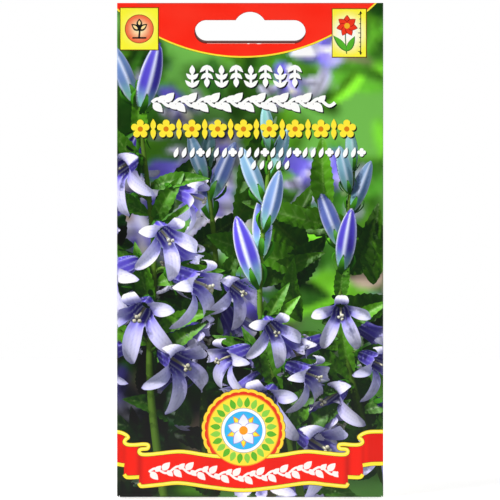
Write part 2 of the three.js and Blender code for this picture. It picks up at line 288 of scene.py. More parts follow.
def blank_outline():
    """The cut sheet, from the foot of the side flap's free edge."""
    free = Z_FOOT + FREE_EDGE_ABOVE_FOOT
    corner = Z_FOOT + PAPER / 2
    slant = SIDE_FLAP_SLANT * (S_FLAP - S_FLAP_EDGE)
    left, right = X_LEFT + BOTTOM_FLAP_INSET, X_RIGHT - BOTTOM_FLAP_INSET
    (wide, left_z), (narrow, right_z) = bottom_fold(left), bottom_fold(right)
    left_end = left_z - PI * wide - (Z_FOOT + BOTTOM_FLAP - left_z)
    right_end = right_z - PI * narrow - (Z_FOOT + BOTTOM_FLAP - right_z)
    return np.array([
        (S_FLAP_EDGE, free + slant),
        (S_FLAP, free),
        (X_LEFT, corner),
        (left, left_z),
        (left, left_z - PI * wide),
        (left + BOTTOM_FLAP_TAPER, left_end),
        (X_STEP, left_end),
        (X_STEP + STEP_RUN, right_end),
        (right - BOTTOM_FLAP_TAPER, right_end),
        (right, right_z - PI * narrow),
        (right, right_z),
        (X_RIGHT, corner),
        (S_BACK, free),
        (S_BACK_EDGE, free),
        (S_BACK_EDGE, Z_TOP),
        (S_FLAP, Z_TOP),
        (S_FLAP_EDGE, Z_TOP - slant),
    ])


def slot_outline(inset=0.0):
    """The euro slot in the front, or a line round it at a distance."""
    radius = SLOT_ARM_HEIGHT / 2 + inset
    end = (SLOT_WIDTH - SLOT_ARM_HEIGHT) / 2
    middle = -HUMP_HEIGHT - SLOT_ARM_HEIGHT / 2
    hump = HUMP_RADIUS + inset
    rise = math.asin((middle + radius + HUMP_RADIUS) / hump)
    return np.concatenate([
        arc((end, middle), radius, -PI / 2, PI / 2, 16),
        arc((0, -HUMP_RADIUS), hump, rise, PI - rise, 16),
        arc((-end, middle), radius, PI / 2, 3 * PI / 2, 16),
    ])


def on_back(outline):
    """An outline seen from the front, where it falls on the back panel."""
    return np.stack([S_BACK + X_RIGHT - outline[:, 0], outline[:, 1]], 1)[::-1]


# A small garden scene, modelled and lit to make the packet's picture. Its third axis points
# out of the picture, towards the reader.

SUN = unit([-0.50, 0.66, 0.56])

# The reader looks from above all that grows, and an outline counts as seen where its own patch
# shows just beside it.
VIEW_HEIGHT = 200
BESIDE = 0.2


def turned(axis, spin):
    """Axes of a frame whose third one is the given direction."""
    axis = unit(axis)
    side = unit(np.cross([0.0, 1.0, 0.01], axis))
    up = np.cross(axis, side)
    cos, sin = math.cos(spin), math.sin(spin)
    return np.stack([cos * side + sin * up, cos * up - sin * side, axis])


def look_down(tree, place):
    """What the reader's view, straight down on a place in the picture, meets first."""
    return tree.ray_cast(Vector((place[0], place[1], VIEW_HEIGHT)), Vector((0, 0, -1)))


class Garden:
    """Petals, leaves and stems as patches of points, with what the light needs to know of each."""

    def __init__(self):
        self.points, self.normals, self.uv, self.triangles = [], [], [], []
        self.owner, self.kinds, self.tints, self.outlines = [], [], [], []
        self.count = 0

    def patch(self, grid, kind, tint=0.5, outline=None):
        """Adds a grid of points; its outline in the picture is its edge, unless one is given."""
        rows, columns = grid.shape[:2]
        normal = unit(np.cross(np.gradient(grid, axis=1), np.gradient(grid, axis=0)) + 1e-9)
        v, u = np.meshgrid(np.linspace(0, 1, rows), np.linspace(-1, 1, columns), indexing="ij")
        i, j = np.meshgrid(np.arange(rows - 1), np.arange(columns - 1), indexing="ij")
        a = (self.count + i * columns + j).ravel()
        quads = np.stack([a, a + 1, a + columns + 1, a + columns], 1)
        self.triangles.append(np.concatenate([quads[:, [0, 1, 2]], quads[:, [0, 2, 3]]]))
        self.owner.append(np.full(2 * len(quads), len(self.kinds)))
        self.points.append(grid.reshape(-1, 3))
        self.normals.append(normal.reshape(-1, 3))
        self.uv.append(np.stack([u, v], -1).reshape(-1, 2))
        self.kinds.append(kind)
        self.tints.append(tint)
        self.count += rows * columns
        if outline is None:
            edge = np.concatenate([grid[:, 0], grid[-1, 1:-1], grid[::-1, -1], grid[0, -2:0:-1]])
            outline = edge[:, :2]
        self.outlines.append(outline)

    def round_patch(self, grid, kind, tint=0.5):
        """Adds a closed organ, whose outline in the picture goes round all its points."""
        flat = grid.reshape(-1, 3)[:, :2]
        self.patch(grid, kind, tint, flat[convex_hull_2d([Vector(p) for p in flat])])

    def tube(self, path, radii, kind, tint=0.5):
        """A round stem along a path."""
        path, radii = np.asarray(path, float), np.asarray(radii, float)
        ahead = unit(np.gradient(path, axis=0))
        side = unit(np.cross(ahead, [0.0, 0.0, 1.0]) + 1e-9)
        lift = np.cross(side, ahead)
        turn = np.linspace(-PI, PI, 9)[None, :, None]
        around = np.cos(turn) * side[:, None] + np.sin(turn) * lift[:, None]
        edge = side * radii[:, None]
        outline = np.concatenate([path + edge, (path - edge)[::-1]])[:, :2]
        self.patch(path[:, None] + around * radii[:, None, None], kind, tint, outline)

    def blob(self, centre, axes, radii, kind, tint=0.5):
        """An egg shape with its three radii along the given axes."""
        v, u = np.meshgrid(np.linspace(0, PI, 7), np.linspace(0, 2 * PI, 11), indexing="ij")
        local = np.stack([np.sin(v) * np.cos(u), np.sin(v) * np.sin(u), np.cos(v)], -1)
        self.round_patch(np.asarray(centre) + (local * radii) @ axes, kind, tint)

    def finish(self):
        """Joins the patches, so that light and the reader's view can meet them."""
        self.points = np.concatenate(self.points)
        self.normals = np.concatenate(self.normals)
        self.uv = np.concatenate(self.uv)
        self.triangles = np.concatenate(self.triangles)
        self.owner = np.concatenate(self.owner)
        self.tints = np.array(self.tints)
        self.kinds = np.array(self.kinds)
        self.tree = BVHTree.FromPolygons(self.points.tolist(), self.triangles.tolist())
        self.own_trees = {}

    def seen_at(self, place):
        """The patch seen at a place in the picture, or -1."""
        face = look_down(self.tree, place)[2]
        return -1 if face is None else int(self.owner[face])

    def shown_runs(self, outline, owner):
        """The stretches of a patch's outline that nothing nearer hides."""
        around = BESIDE * np.array([(1, 0), (-1, 0), (0, 1), (0, -1)])
        runs, run = [], []
        for place in outline:
            if any(self.seen_at(place + side) == owner for side in around):
                run.append(place)
            elif run:
                runs.append(run)
                run = []
        return [run for run in [*runs, run] if len(run) > 1]

    def own_tree(self, owner):
        """One patch alone, and its faces' numbers among all the faces."""
        if owner not in self.own_trees:
            faces = np.nonzero(self.owner == owner)[0]
            own, corners = np.unique(self.triangles[faces], return_inverse=True)
            tree = BVHTree.FromPolygons(self.points[own].tolist(), corners.reshape(-1, 3).tolist())
            self.own_trees[owner] = (tree, faces)
        return self.own_trees[owner]

    def on_patch(self, place, owner):
        """The point and face of one patch at a place in the picture, or nearest to it."""
        tree, faces = self.own_tree(owner)
        point, _, face, _ = look_down(tree, place)
        if face is None:
            depth = self.points[self.triangles[faces[0]][0]][2]
            point, _, face, _ = tree.find_nearest(Vector((place[0], place[1], depth)))
        return point, faces[face]


LOBES = 5
PETAL_CUP = 0.35


def strip(reach, half, height, angle):
    """A petal or sepal of a ring: points from its run outward, its half width and its rise."""
    u = np.linspace(-1, 1, 9)[None, :, None]
    outward = np.array([math.cos(angle), math.sin(angle), 0])
    sideways = np.array([-math.sin(angle), math.cos(angle), 0])
    upward = np.array([0, 0, 1.0])
    across = u * sideways + PETAL_CUP * u ** 2 * upward
    return reach[:, None, None] * outward + half[:, None, None] * across + height[:, None, None] * upward


def ring(garden, base, size, axes, kind, tint, lines, first=0.0, sag=0.0):
    """A ring of petals or sepals, from their lines of reach, half width and height."""
    for number in range(LOBES):
        grid = base + size * strip(*lines, 2 * PI * (number + first) / LOBES) @ axes
        grid[:, :, 1] -= sag
        garden.patch(grid, kind, tint)


# Reach and height along a petal, from the bell's base to the lobe's tip, in shares of its size
BELL_PROFILE = [(0.06, 0.0), (0.12, 0.10), (0.14, 0.26), (0.15, 0.42), (0.19, 0.56), (0.31, 0.66),
                (0.45, 0.65), (0.57, 0.55), (0.62, 0.40)]
MOUTH = 0.5
FIFTH_OF_TUBE = 0.73
PETAL_TIP = 0.004
BASE_RADII = np.array([0.12, 0.12, 0.09])
STYLE_RADIUS = 0.022
STIGMA_RADII = np.array([0.036, 0.036, 0.03])


def bellflower(garden, base, size, facing, spin, droop, tint):
    """A tubular bell whose five narrow lobes spread from its mouth and curl back."""
    axes = turned(facing, spin)
    base = np.asarray(base, float)
    v = np.linspace(0, 1, 23)
    reach, height = path_through(BELL_PROFILE, len(v)).T
    lobe = np.clip((v - MOUTH) / (1 - MOUTH), 0, 1)
    narrow = 0.02 + 0.125 * np.sin(PI * (0.25 + 0.75 * lobe)) ** 0.8
    half = np.where(v < MOUTH, FIFTH_OF_TUBE * reach, np.minimum(FIFTH_OF_TUBE * reach, narrow))
    half[-1] = PETAL_TIP
    sag = 2 * droop * size * np.clip(v - MOUTH, 0, 1)[:, None] ** 1.5
    ring(garden, base, size, axes, "petal", tint, (reach, half, height), 0.0, sag)
    v = np.linspace(0, 1, 7)
    sepals = (0.09 + 0.24 * v, 0.05 * np.sin(PI * (0.1 + 0.9 * v)), 0.26 * v - 0.02)
    ring(garden, base, size, axes, "sepal", tint, sepals, 0.5)
    garden.blob(base, axes, BASE_RADII * size, "sepal", tint)
    style(garden, base, size, axes, spin)


def style(garden, base, size, axes, spin):
    """The white style in a bell's middle, with its three stigmas."""
    side, lift, up = axes
    column = [base + size * up * height for height in np.linspace(0.3, 0.8, 5)]
    garden.tube(column, np.full(5, STYLE_RADIUS * size), "style")
    for number in range(3):
        angle = 2 * PI * number / 3 + spin
        tip = base + size * (0.82 * up + 0.045 * (math.cos(angle) * side + math.sin(angle) * lift))
        garden.blob(tip, axes, STIGMA_RADII * size, "style")


def bud(garden, foot, length, direction, tint):
    """A closed ribbed bud above its sepals."""
    axes = turned(direction, 0.4)
    v = np.linspace(0.01, 0.99, 15)[:, None]
    turn = np.linspace(0, 2 * PI, 31)[None, :]
    radius = 0.125 * np.sin(PI * v ** 0.85) ** 0.6 * (1 + 0.10 * np.cos(5 * turn)) * (1 + 0.2 * v)
    local = np.stack([radius * np.cos(turn), radius * np.sin(turn), v + 0 * turn], -1)
    foot = np.asarray(foot, float)
    garden.round_patch(foot + length * local @ axes, "bud", tint)
    rise = np.linspace(0, 1, 6)
    reach = 0.05 + 0.13 * np.sin(PI * 0.8 * rise)
    half = 0.045 * np.sin(PI * (0.15 + 0.85 * rise))
    ring(garden, foot, length, axes, "sepal", tint, (reach, half, 0.36 * rise - 0.03))


def leaf(garden, foot, length, width, heading, tilt, bend, roll, tint, teeth=13):
    """A toothed leaf: folded along its midrib, arched along its length and waved at its edge."""
    v = np.linspace(0, 1, teeth * 3 + 1)[:, None]
    u = np.linspace(-1, 1, 9)[None, :]
    outline = leaf_width(v)
    tooth = 1 - 0.16 * (1 - (v * teeth) % 1.0) * np.sin(PI * v) ** 0.3 * (v < 0.97)
    x = width / 2 * outline * tooth * u + bend * length * v ** 2
    y = length * v + 0 * u
    wave = 0.06 * np.sin(9 * v + 2) * u ** 2 + 0.025 * np.cos(16 * PI * v) * np.abs(u)
    lift = 0.22 * np.abs(u) + wave
    depth = width * lift * outline - 0.25 * length * (v - 0.45) ** 2
    axes = [x, y, depth]
    for angle, first, second in ((roll, 0, 2), (tilt, 1, 2), (heading, 0, 1)):
        cos, sin = math.cos(angle), math.sin(angle)
        a, b = axes[first], axes[second]
        axes[first], axes[second] = cos * a - sin * b, sin * a + cos * b
    garden.patch(np.stack(axes, -1) + np.asarray(foot, float), "leaf", tint)


STALK = 5.0
STALK_RADIUS = 0.5


def raceme(garden, rng, places, flowers, buds, flowering, size, phase, tint):
    """A flowering stem: bells, each with its leaf, round its middle, and buds at its tip."""
    stem = path_through(places, 40)
    garden.tube(stem, np.linspace(1.4, 0.6, len(stem)), "stem", tint)

    def at(share):
        return stem[int(share * (len(stem) - 1))]

    low, high = flowering
    for number in range(flowers):
        share = low + (high - low) * number / flowers
        turn = phase + number * GOLDEN_TURN
        outward = np.array([math.cos(turn), 0.12, math.sin(turn)])
        foot = at(share) + outward * STALK
        scale = size * (1 - 0.22 * number / flowers) * rng.uniform(0.92, 1.08)
        facing = unit(outward * (1, 1, 0.6) + np.array([0, -0.5, 0.42]))
        stalk = path_through([at(share), at(share) + outward * STALK / 2 + (0, 1.2, 0), foot], 7)
        garden.tube(stalk, np.full(len(stalk), STALK_RADIUS), "stem")
        bellflower(garden, foot, scale, facing, turn, 0.42, tint + rng.uniform(-0.3, 0.3))
        leaf(garden, at(share - 0.02), scale * 1.15, scale * 0.34, -outward[0] * 1.35, 0.2, 0.1,
             0.4 * outward[0], rng.uniform(0.4, 0.95), 11)
    for number in range(buds):
        share = high + 0.02 + (0.98 - high) * number / max(buds - 1, 1)
        turn = phase + number * GOLDEN_TURN
        lean = np.array([0.42 * math.cos(turn), 1.0, 0.4 * math.sin(turn)])
        foot = at(share) + lean * (1.6, 0.4, 2.5)
        bud(garden, foot, size * (1.15 - 0.5 * number / buds), lean, 1 - 0.9 * number / buds)


# Each flowering stem: places that it runs through, its flowers, its buds, the share of it that
# flowers, a bell's size, the first bell's turn, and its tint
RACEMES = (
    ([(-24, -158, 2), (-30, -112, 4), (-29, -72, 5), (-34, -26, 4)], 13, 3, (0.42, 0.94), 20, 0.9, 0.6),
    ([(18, -160, 6), (11, -124, 9), (3, -90, 12), (6, -42, 10)], 11, 6, (0.24, 0.70), 20, 2.4, 0.65),
    ([(44, -150, -4), (33, -120, -2), (27, -88, 0), (31, -48, 0)], 9, 5, (0.26, 0.74), 18, 1.2, 0.8),
    ([(-12, -160, -8), (-14, -120, -8), (-10, -84, -7), (-13, -48, -7)], 6, 4, (0.46, 0.84), 18, 4.0, 0.6),
)
LEAVES_BETWEEN = 54
HEDGE_LEAVES, HEDGE_FLOWERS = 210, 22
HEDGE_DEPTH = -66


def plant_garden():
    """What is in focus: the flowering stems, and the leaves between them."""
    garden = Garden()
    rng = np.random.default_rng(11)
    for stem in RACEMES:
        raceme(garden, rng, *stem)
    for _ in range(LEAVES_BETWEEN):
        side, level = rng.uniform(-40, 40), rng.uniform(-148, -52)
        tint = np.clip(0.40 + 0.010 * side + 0.005 * (level + 100) + rng.uniform(-0.25, 0.3), 0, 1)
        leaf(garden, (side, level, rng.uniform(-18, -3)), rng.uniform(18, 34), rng.uniform(7, 13),
             rng.uniform(-2.2, 2.2), rng.uniform(-0.3, 0.5), rng.uniform(-0.2, 0.2),
             rng.uniform(-0.6, 0.6), tint)
    garden.finish()
    return garden


def plant_hedge():
    """What grows and lies far behind, out of focus: leaves, faded flowers and dry litter."""
    hedge = Garden()
    rng = np.random.default_rng(23)
    for _ in range(HEDGE_LEAVES):
        foot = (rng.uniform(-48, 48), rng.uniform(-155, 8), rng.uniform(HEDGE_DEPTH, -26))
        dry = (foot[1] < -70 - 0.5 * foot[0] and rng.uniform() < 0.45) or rng.uniform() < 0.08
        length = rng.uniform(6, 14) if dry else rng.uniform(14, 30)
        leaf(hedge, foot, length, length * rng.uniform(0.3, 0.6), rng.uniform(-3, 3),
             rng.uniform(-0.4, 0.6), 0.1, rng.uniform(-0.6, 0.6),
             -rng.uniform(0.1, 1) if dry else rng.uniform(0, 1), 9)
    for _ in range(HEDGE_FLOWERS):
        base = (rng.uniform(-44, 34), rng.uniform(-110, -4), rng.uniform(-44, -22))
        facing = (rng.uniform(-1, 1), rng.uniform(-0.8, 0.1), 0.4)
        bellflower(hedge, base, rng.uniform(15, 22), facing, rng.uniform(0, 6), 0.3, rng.uniform(0.0, 0.8))
    hedge.finish()
    return hedge


def light_hedge(hedge):
    """One colour for each of the hedge's faces: enough for what is out of focus."""
    corners = hedge.triangles
    uv = hedge.uv[corners].mean(1)
    facing = np.abs(hedge.normals[corners].mean(1) @ SUN)
    centre = hedge.points[corners].mean(1)
    colour = plain_colours(hedge, hedge.owner, uv, np.zeros(len(uv)))
    near = 0.5 + 0.5 * smooth((centre[:, 2] - HEDGE_DEPTH) / 36)
    light = (0.12 + 1.15 * facing) * brightness(centre[:, :2]) * near
    return colour * light[:, None]


def soft_spot(places, x, z, wide, high):
    """A spot of light or shade that fades out round its middle."""
    return band(places[:, 0], x, wide) * band(places[:, 1], z, high)


def clearing(places):
    """Where gaps overhead let sun fall on the flowers: at half height and at the foot."""
    return soft_spot(places, -12, -68, 26, 17) + 0.8 * soft_spot(places, 8, -147, 36, 7)


def brightness(places):
    """The garden's light: dim low on the left and behind the title, strong at the upper right."""
    open_side = 0.46 + (places[:, 1] + 70) / 135 + places[:, 0] / 120
    light = 0.26 + 1.34 * smooth(open_side) + 1.4 * smooth(2 * open_side - 1.7)
    return light + 0.75 * clearing(places) - 0.65 * soft_spot(places, -8, -36, 24, 14)


def veins(u, v, pairs, slant):
    """A leaf's midrib, and its side veins slanting to the edge."""
    phase = v * pairs - slant * np.abs(u)
    side = band((phase + 0.5) % 1, 0.5, 0.09) * (1 - 0.4 * np.abs(u))
    return np.maximum(band(u, 0, 0.05), 0.55 * side)


def petal_colour(u, v, tint, outside):
    """A deep violet tube with pale ridges, and pale lobes with darker edges and nerves."""
    tube = mix(ink("#352c86"), ink("#5d54b8"), smooth(v * 1.6))
    ridges = band(u, 0, 0.12) + band(np.abs(u), 1, 0.15)
    tube = mix(tube, ink("#c8cdf2"), 0.75 * np.clip(ridges, 0, 1))
    tube = mix(tube, ink("#6d62c0"), 0.7 * (1 - outside) * smooth(v / 0.4))
    face = mix(ink("#9a95dc"), ink("#eeeefc"), smooth((v - 0.40) * 2.6))
    face = mix(face, ink("#8f88d8"), np.clip(0.9 - tint, 0, 1) * 0.35)
    edge = 0.4 * smooth((v - 0.92) / 0.08) + 0.2 * smooth((np.abs(u) - 0.6) / 0.4)
    face = mix(face, ink("#7a70cc"), edge)
    nerves = band(u, 0, 0.06) + 0.6 * band(np.abs(u), 0.45, 0.06)
    face = mix(face, ink("#6258b4"), np.clip(0.5 * nerves, 0, 1) * (1 - 0.6 * v))
    lobe = smooth((v - 0.40) / 0.25)
    return mix(mix(tube, face, lobe), ink("#8a84d0"), 0.2 * outside * lobe)


def bud_colour(u, v, tint):
    """Striped pale along its ribs: green when young, violet at its tip when ripe."""
    stripes = 0.5 + 0.5 * np.cos(5 * PI * (u + 1))
    young = mix(ink("#5c9a68"), ink("#9fd8c4"), smooth(v * 1.5))
    ripe = mix(ink("#9fd8c4"), ink("#5b52b4"), smooth(v * 2.2))
    return mix(mix(young, ripe, tint), ink("#e6ebfa"), 0.75 * stripes ** 4 * (0.3 + 0.7 * tint))


def leaf_colour(u, v, tint, outside):
    """Green from dark to fresh by its tint, with pale veins; below 0 the leaf is dry."""
    fresh = mix(ink("#1d5220"), ink("#78bd40"), np.clip(tint, 0, 1))
    dry = mix(ink("#54453c"), ink("#d0bfae"), np.clip(-tint, 0, 1))
    body = np.where((tint < 0)[:, None], dry, fresh)
    body = mix(body, ink("#15401a"), 0.4 * (1 - np.abs(u)) * np.clip(1 - tint, 0, 1) * (tint > 0))
    body = mix(body, ink("#b4dc86"), 0.45 * veins(u, v, 8, 0.9) * (tint > 0))
    return mix(body, ink("#9cc87c"), 0.4 * outside)


PLAIN_ORGANS = {"stem": "#6f9440", "sepal": "#4f9034", "style": "#f4f1dc"}


def organ_colour(kind, u, v, tint, outside):
    """The plain colour of an organ's surface at its own coordinates."""
    if kind == "petal":
        return petal_colour(u, v, tint, outside)
    if kind == "bud":
        return bud_colour(u, v, tint)
    if kind == "leaf":
        return leaf_colour(u, v, tint, outside)
    return np.tile(ink(PLAIN_ORGANS[kind]), (len(u), 1))


def plain_colours(garden, owners, uv, outside):
    """The organs' own colours, before the light falls on them."""
    colours = np.zeros((len(owners), 3))
    for kind in np.unique(garden.kinds[owners]):
        mine = garden.kinds[owners] == kind
        tint = garden.tints[owners[mine]]
        colours[mine] = organ_colour(kind, uv[mine, 0], uv[mine, 1], tint, outside[mine])
    return colours


def sunflower_spread(count, radius):
    """Evenly spread places in a disc."""
    k = np.arange(count) + 0.5
    reach, turn = radius * np.sqrt(k / count), k * GOLDEN_TURN
    return np.stack([reach * np.cos(turn), reach * np.sin(turn)], 1)


# Rays that ask each place for light, how far they reach, and rays that blur the hedge
SKY_RAYS, SKY_REACH = 12, 16
SUN_REACH, SUN_BLUR = 60, 0.10
RAY_START = 0.06
SUNLIGHT, SKYLIGHT = np.array([1.20, 1.16, 1.08]), np.array([0.36, 0.40, 0.46])
LENS_RAYS = 28
LENS_SLOPE = 0.05


def surface_at(garden, places, owners):
    """The given patches' points, normals towards the reader, coordinates and side, at places."""
    hits = [garden.on_patch(place, owner) for place, owner in zip(places, owners)]
    point = np.array([hit for hit, _ in hits])
    corners = garden.triangles[[face for _, face in hits]]
    a, b, c = (garden.points[corners[:, k]] for k in range(3))
    whole = np.cross(b - a, c - a)
    area = np.maximum((whole ** 2).sum(1), 1e-12)
    share_b = (np.cross(point - a, c - a) * whole).sum(1) / area
    share_c = (np.cross(b - a, point - a) * whole).sum(1) / area
    shares = np.clip(np.stack([1 - share_b - share_c, share_b, share_c], 1), 0, 1)[..., None]
    normal = unit((garden.normals[corners] * shares).sum(1) + 1e-9)
    uv = (garden.uv[corners] * shares).sum(1)
    outside = normal[:, 2] < 0
    return point, normal * np.where(outside, -1, 1)[:, None], uv, outside.astype(float)


def open_to_light(garden, point, normal):
    """The shares of the sky and of the sun's disc that nothing hides."""
    side = unit(np.cross(normal, [0.0, 1.0, 0.03]))
    up = np.cross(side, normal)
    tilt = sunflower_spread(SKY_RAYS, 1.0)
    lift = np.sqrt(1 - (tilt ** 2).sum(1))
    around = tilt[None, :, :1] * side[:, None] + tilt[None, :, 1:] * up[:, None]
    around = around + lift[None, :, None] * normal[:, None]
    start = point + normal * RAY_START
    beside_sun = np.array([(1, 0, 0), (-0.5, 0.8, 0), (-0.5, -0.8, 0)])
    cone = [Vector(unit(SUN + SUN_BLUR * away)) for away in beside_sun]
    cast = garden.tree.ray_cast
    sky = np.empty(len(point))
    sun = np.empty(len(point))
    for k, (origin, rays) in enumerate(zip(start.tolist(), around.tolist())):
        origin = Vector(origin)
        sky[k] = sum(cast(origin, Vector(ray), SKY_REACH)[2] is None for ray in rays)
        sun[k] = sum(cast(origin, ray, SUN_REACH)[2] is None for ray in cone)
    return sky / SKY_RAYS, sun / len(cone)


def light_garden(garden, places, owners):
    """Colours of the picture at places where the given patches are seen."""
    point, normal, uv, outside = surface_at(garden, places, owners)
    sky, sun = open_to_light(garden, point, normal)
    kinds = garden.kinds[owners]
    soft = np.isin(kinds, ["petal", "bud"])
    facing = normal @ SUN
    direct = np.where(soft, np.clip((facing + 0.25) / 1.25, 0, 1), np.clip(facing, 0, 1)) * sun
    through = np.where(soft | (kinds == "leaf"), np.clip(-facing, 0, 1) + 0.15 * sun, 0) * 0.4
    glance = np.clip(normal @ unit(SUN + np.array([0, 0, 1.0])), 0, 1)
    gloss = np.where(kinds == "leaf", 0.22, 0.08) * glance ** 22 * sun
    from_sky = sky ** 1.4 * (0.65 + 0.35 * normal[:, 1])
    inner_glow = np.where(soft, 0.20, 0.06) + np.where(soft, 0.26, 0.12) * clearing(point)
    light = direct[:, None] * SUNLIGHT + from_sky[:, None] * SKYLIGHT
    light = light + (through * sky)[:, None] + inner_glow[:, None]
    depth = 0.36 + 0.64 * smooth((point[:, 2] + 14) / 26)
    flowers = 1 + 0.25 * clearing(point) - 0.15 * smooth((-94 - point[:, 1]) / 12)
    shade = np.where(soft, flowers, 0.55 + 0.45 * np.clip(brightness(point), 0, 1.3))
    colour = plain_colours(garden, owners, uv, outside)
    return colour * light * (depth * shade)[:, None] + gloss[:, None]


def out_of_focus(hedge, places):
    """The far hedge, blurred by the width of the lens."""
    lens = [Vector((x, z, -1)) for x, z in sunflower_spread(LENS_RAYS, LENS_SLOPE)]
    cast = hedge.tree.ray_cast
    faces = np.array([
        [-1 if hit is None else hit for hit in (cast(origin, ray)[2] for ray in lens)]
        for origin in (Vector((x, z, 0)) for x, z in places.tolist())
    ])
    gap = mix(ink("#10161a"), ink("#7cb860"), np.clip(brightness(places) - 0.35, 0, 1))
    colours = np.where((faces < 0)[..., None], gap[:, None], light_hedge(hedge)[faces])
    return colours.mean(1)


SATURATION, CONTRAST, EXPOSURE = 1.12, 1.12, 1.05
DARKEST, BRIGHTEST = 0.004, 0.97


def graded(colour):
    """The picture as printed: its contrast and its colours a little stronger than in life."""
    grey = colour.mean(1, keepdims=True)
    strong = np.clip(grey + SATURATION * (colour - grey), 0, None)
    return np.clip(EXPOSURE * strong ** CONTRAST, DARKEST, BRIGHTEST)


# The flat artwork on top of the picture, in its own inks

RED, DARK_RED = "#fd2a18", "#981a12"
YELLOW, PALE_YELLOW, AMBER, BROWN = "#ffe83c", "#fff7a8", "#f0a02a", "#5a3a12"
WHITE, INK_BLACK = "#fdfdfb", "#10131a"
PAPER_WHITE = "#f6f4ee"
LEAF_GREEN, DARK_GREEN, SKY_VIOLET = "#4f9e35", "#2c6a26", "#6a60cc"
SHADOW_STEP = np.array([0.36, -0.42])


class Artwork:
    """Printed shapes in the order in which they are laid down, each with its ink."""

    def __init__(self):
        self.outlines = []
        self.inks = []

    def add(self, outline, colour):
        """Adds a shape in a plain ink, or in one worked out from the place on the sheet."""
        outline = np.asarray(outline, float)
        x, z = outline.T
        anticlockwise = (x * np.roll(z, -1) - np.roll(x, -1) * z).sum() > 0
        self.outlines.append(outline if anticlockwise else outline[::-1])
        self.inks.append(colour if callable(colour) else ink(colour))

    def add_shadowed(self, shapes, colour, step=SHADOW_STEP):
        for shape in shapes:
            self.add(shape + step, INK_BLACK)
        for shape in shapes:
            self.add(shape, colour)

    def framed_block(self, left, bottom, right, top, colour, line=0.22):
        self.add(block(left - line, bottom - line * 1.3, right + line * 1.3, top + line), BROWN)
        self.add(block(left, bottom, right, top), colour)


def glow(inner, outer, centre, radius, power=1.0):
    """An ink that runs from one colour in the middle to another at a radius."""
    def colour(at):
        away = np.linalg.norm(at - np.asarray(centre), axis=1) / radius
        return mix(ink(inner), ink(outer), smooth(away) ** power)
    return colour


def clouded(code, amount):
    """A plain ink that lay down slightly unevenly."""
    def colour(at):
        s, t = at[:, 0], at[:, 1]
        cloud = np.sin(s * 0.23 + 1.3 * np.sin(t * 0.31)) * np.cos(t * 0.41 + 0.9 * np.sin(s * 0.17))
        return mix(ink(code), ink("#ff6a52"), amount * (0.5 + 0.5 * cloud))
    return colour


HEADER_CENTRE, HEADER_RADIUS = (-2.1, 43.67), 57.42
PIPING, PIPING_EDGE = 0.44, 0.07


def header(art):
    """The red header, its lower edge an arc with yellow piping."""
    inside = HEADER_RADIUS - PIPING
    bands = (
        (BROWN, HEADER_RADIUS + PIPING_EDGE),
        (YELLOW, HEADER_RADIUS),
        (AMBER, inside),
        (None, inside - PIPING_EDGE),
    )
    for code, reach in bands:
        low = math.asin((Z_TOP + 1 - HEADER_CENTRE[1]) / reach)
        art.add(arc(HEADER_CENTRE, reach, PI - low, 2 * PI + low, 96), code or clouded(RED, 0.10))
    # A greyer red line along the top edge: painted shade of the paper's edge.
    art.add(block(-34, Z_TOP - 0.28, 36, Z_TOP + 0.5), "#cf4a3c")
    # A darker red line round the slot's cut edge: painted shade of the edge.
    art.add(slot_outline(0.16), "#b8281c")
    slot_foot = -HUMP_HEIGHT - SLOT_ARM_HEIGHT
    art.add(block(-13.0, slot_foot - 0.14, 13.4, slot_foot + 0.1), "#f7a89c")
    for x, wide in ((-0.5, 0.9), (2.7, 1.6)):
        art.add(leaf_shape((x - wide / 2, slot_foot - 0.12), wide, 0.3, 0), "#fde6e0")


def life_span_icon(art):
    """A sprout in an orange disc: the sign for a plant that comes up again each year."""
    left, bottom, right, top = -38.95, -11.3, -27.7, 1.15
    centre, radius = (-33.3, -5.1), 4.15
    art.framed_block(left, bottom, right, top, glow(PALE_YELLOW, "#fbf53a", centre, 6.6, 0.8))
    art.add(disc(centre, radius + 0.2), "#9a4a22")
    art.add(disc(centre, radius), glow("#fff0bc", "#f2683c", centre, radius, 1.1))
    x, z = centre
    stem = path_through([(x - 0.1, z - 2.7), (x + 0.1, z - 0.8), (x, z + 0.6)], 8)
    art.add(stroke(stem, 0.55), INK_BLACK)
    art.add(stroke([(x - 2.1, z - 2.7), (x + 2.1, z - 2.7)], 0.5), INK_BLACK)
    for heading, length, rise in ((0.7, 3.1, -0.5), (PI - 0.7, 3.1, -0.5), (PI / 2, 2.6, 0.5)):
        foot = np.array([x, z + rise])
        art.add(leaf_shape(foot, length, 1.75, heading), INK_BLACK)
        inner = foot + 0.65 * np.array([math.cos(heading), math.sin(heading)])
        art.add(leaf_shape(inner, length - 1.2, 0.8, heading), "#ffdf9a")


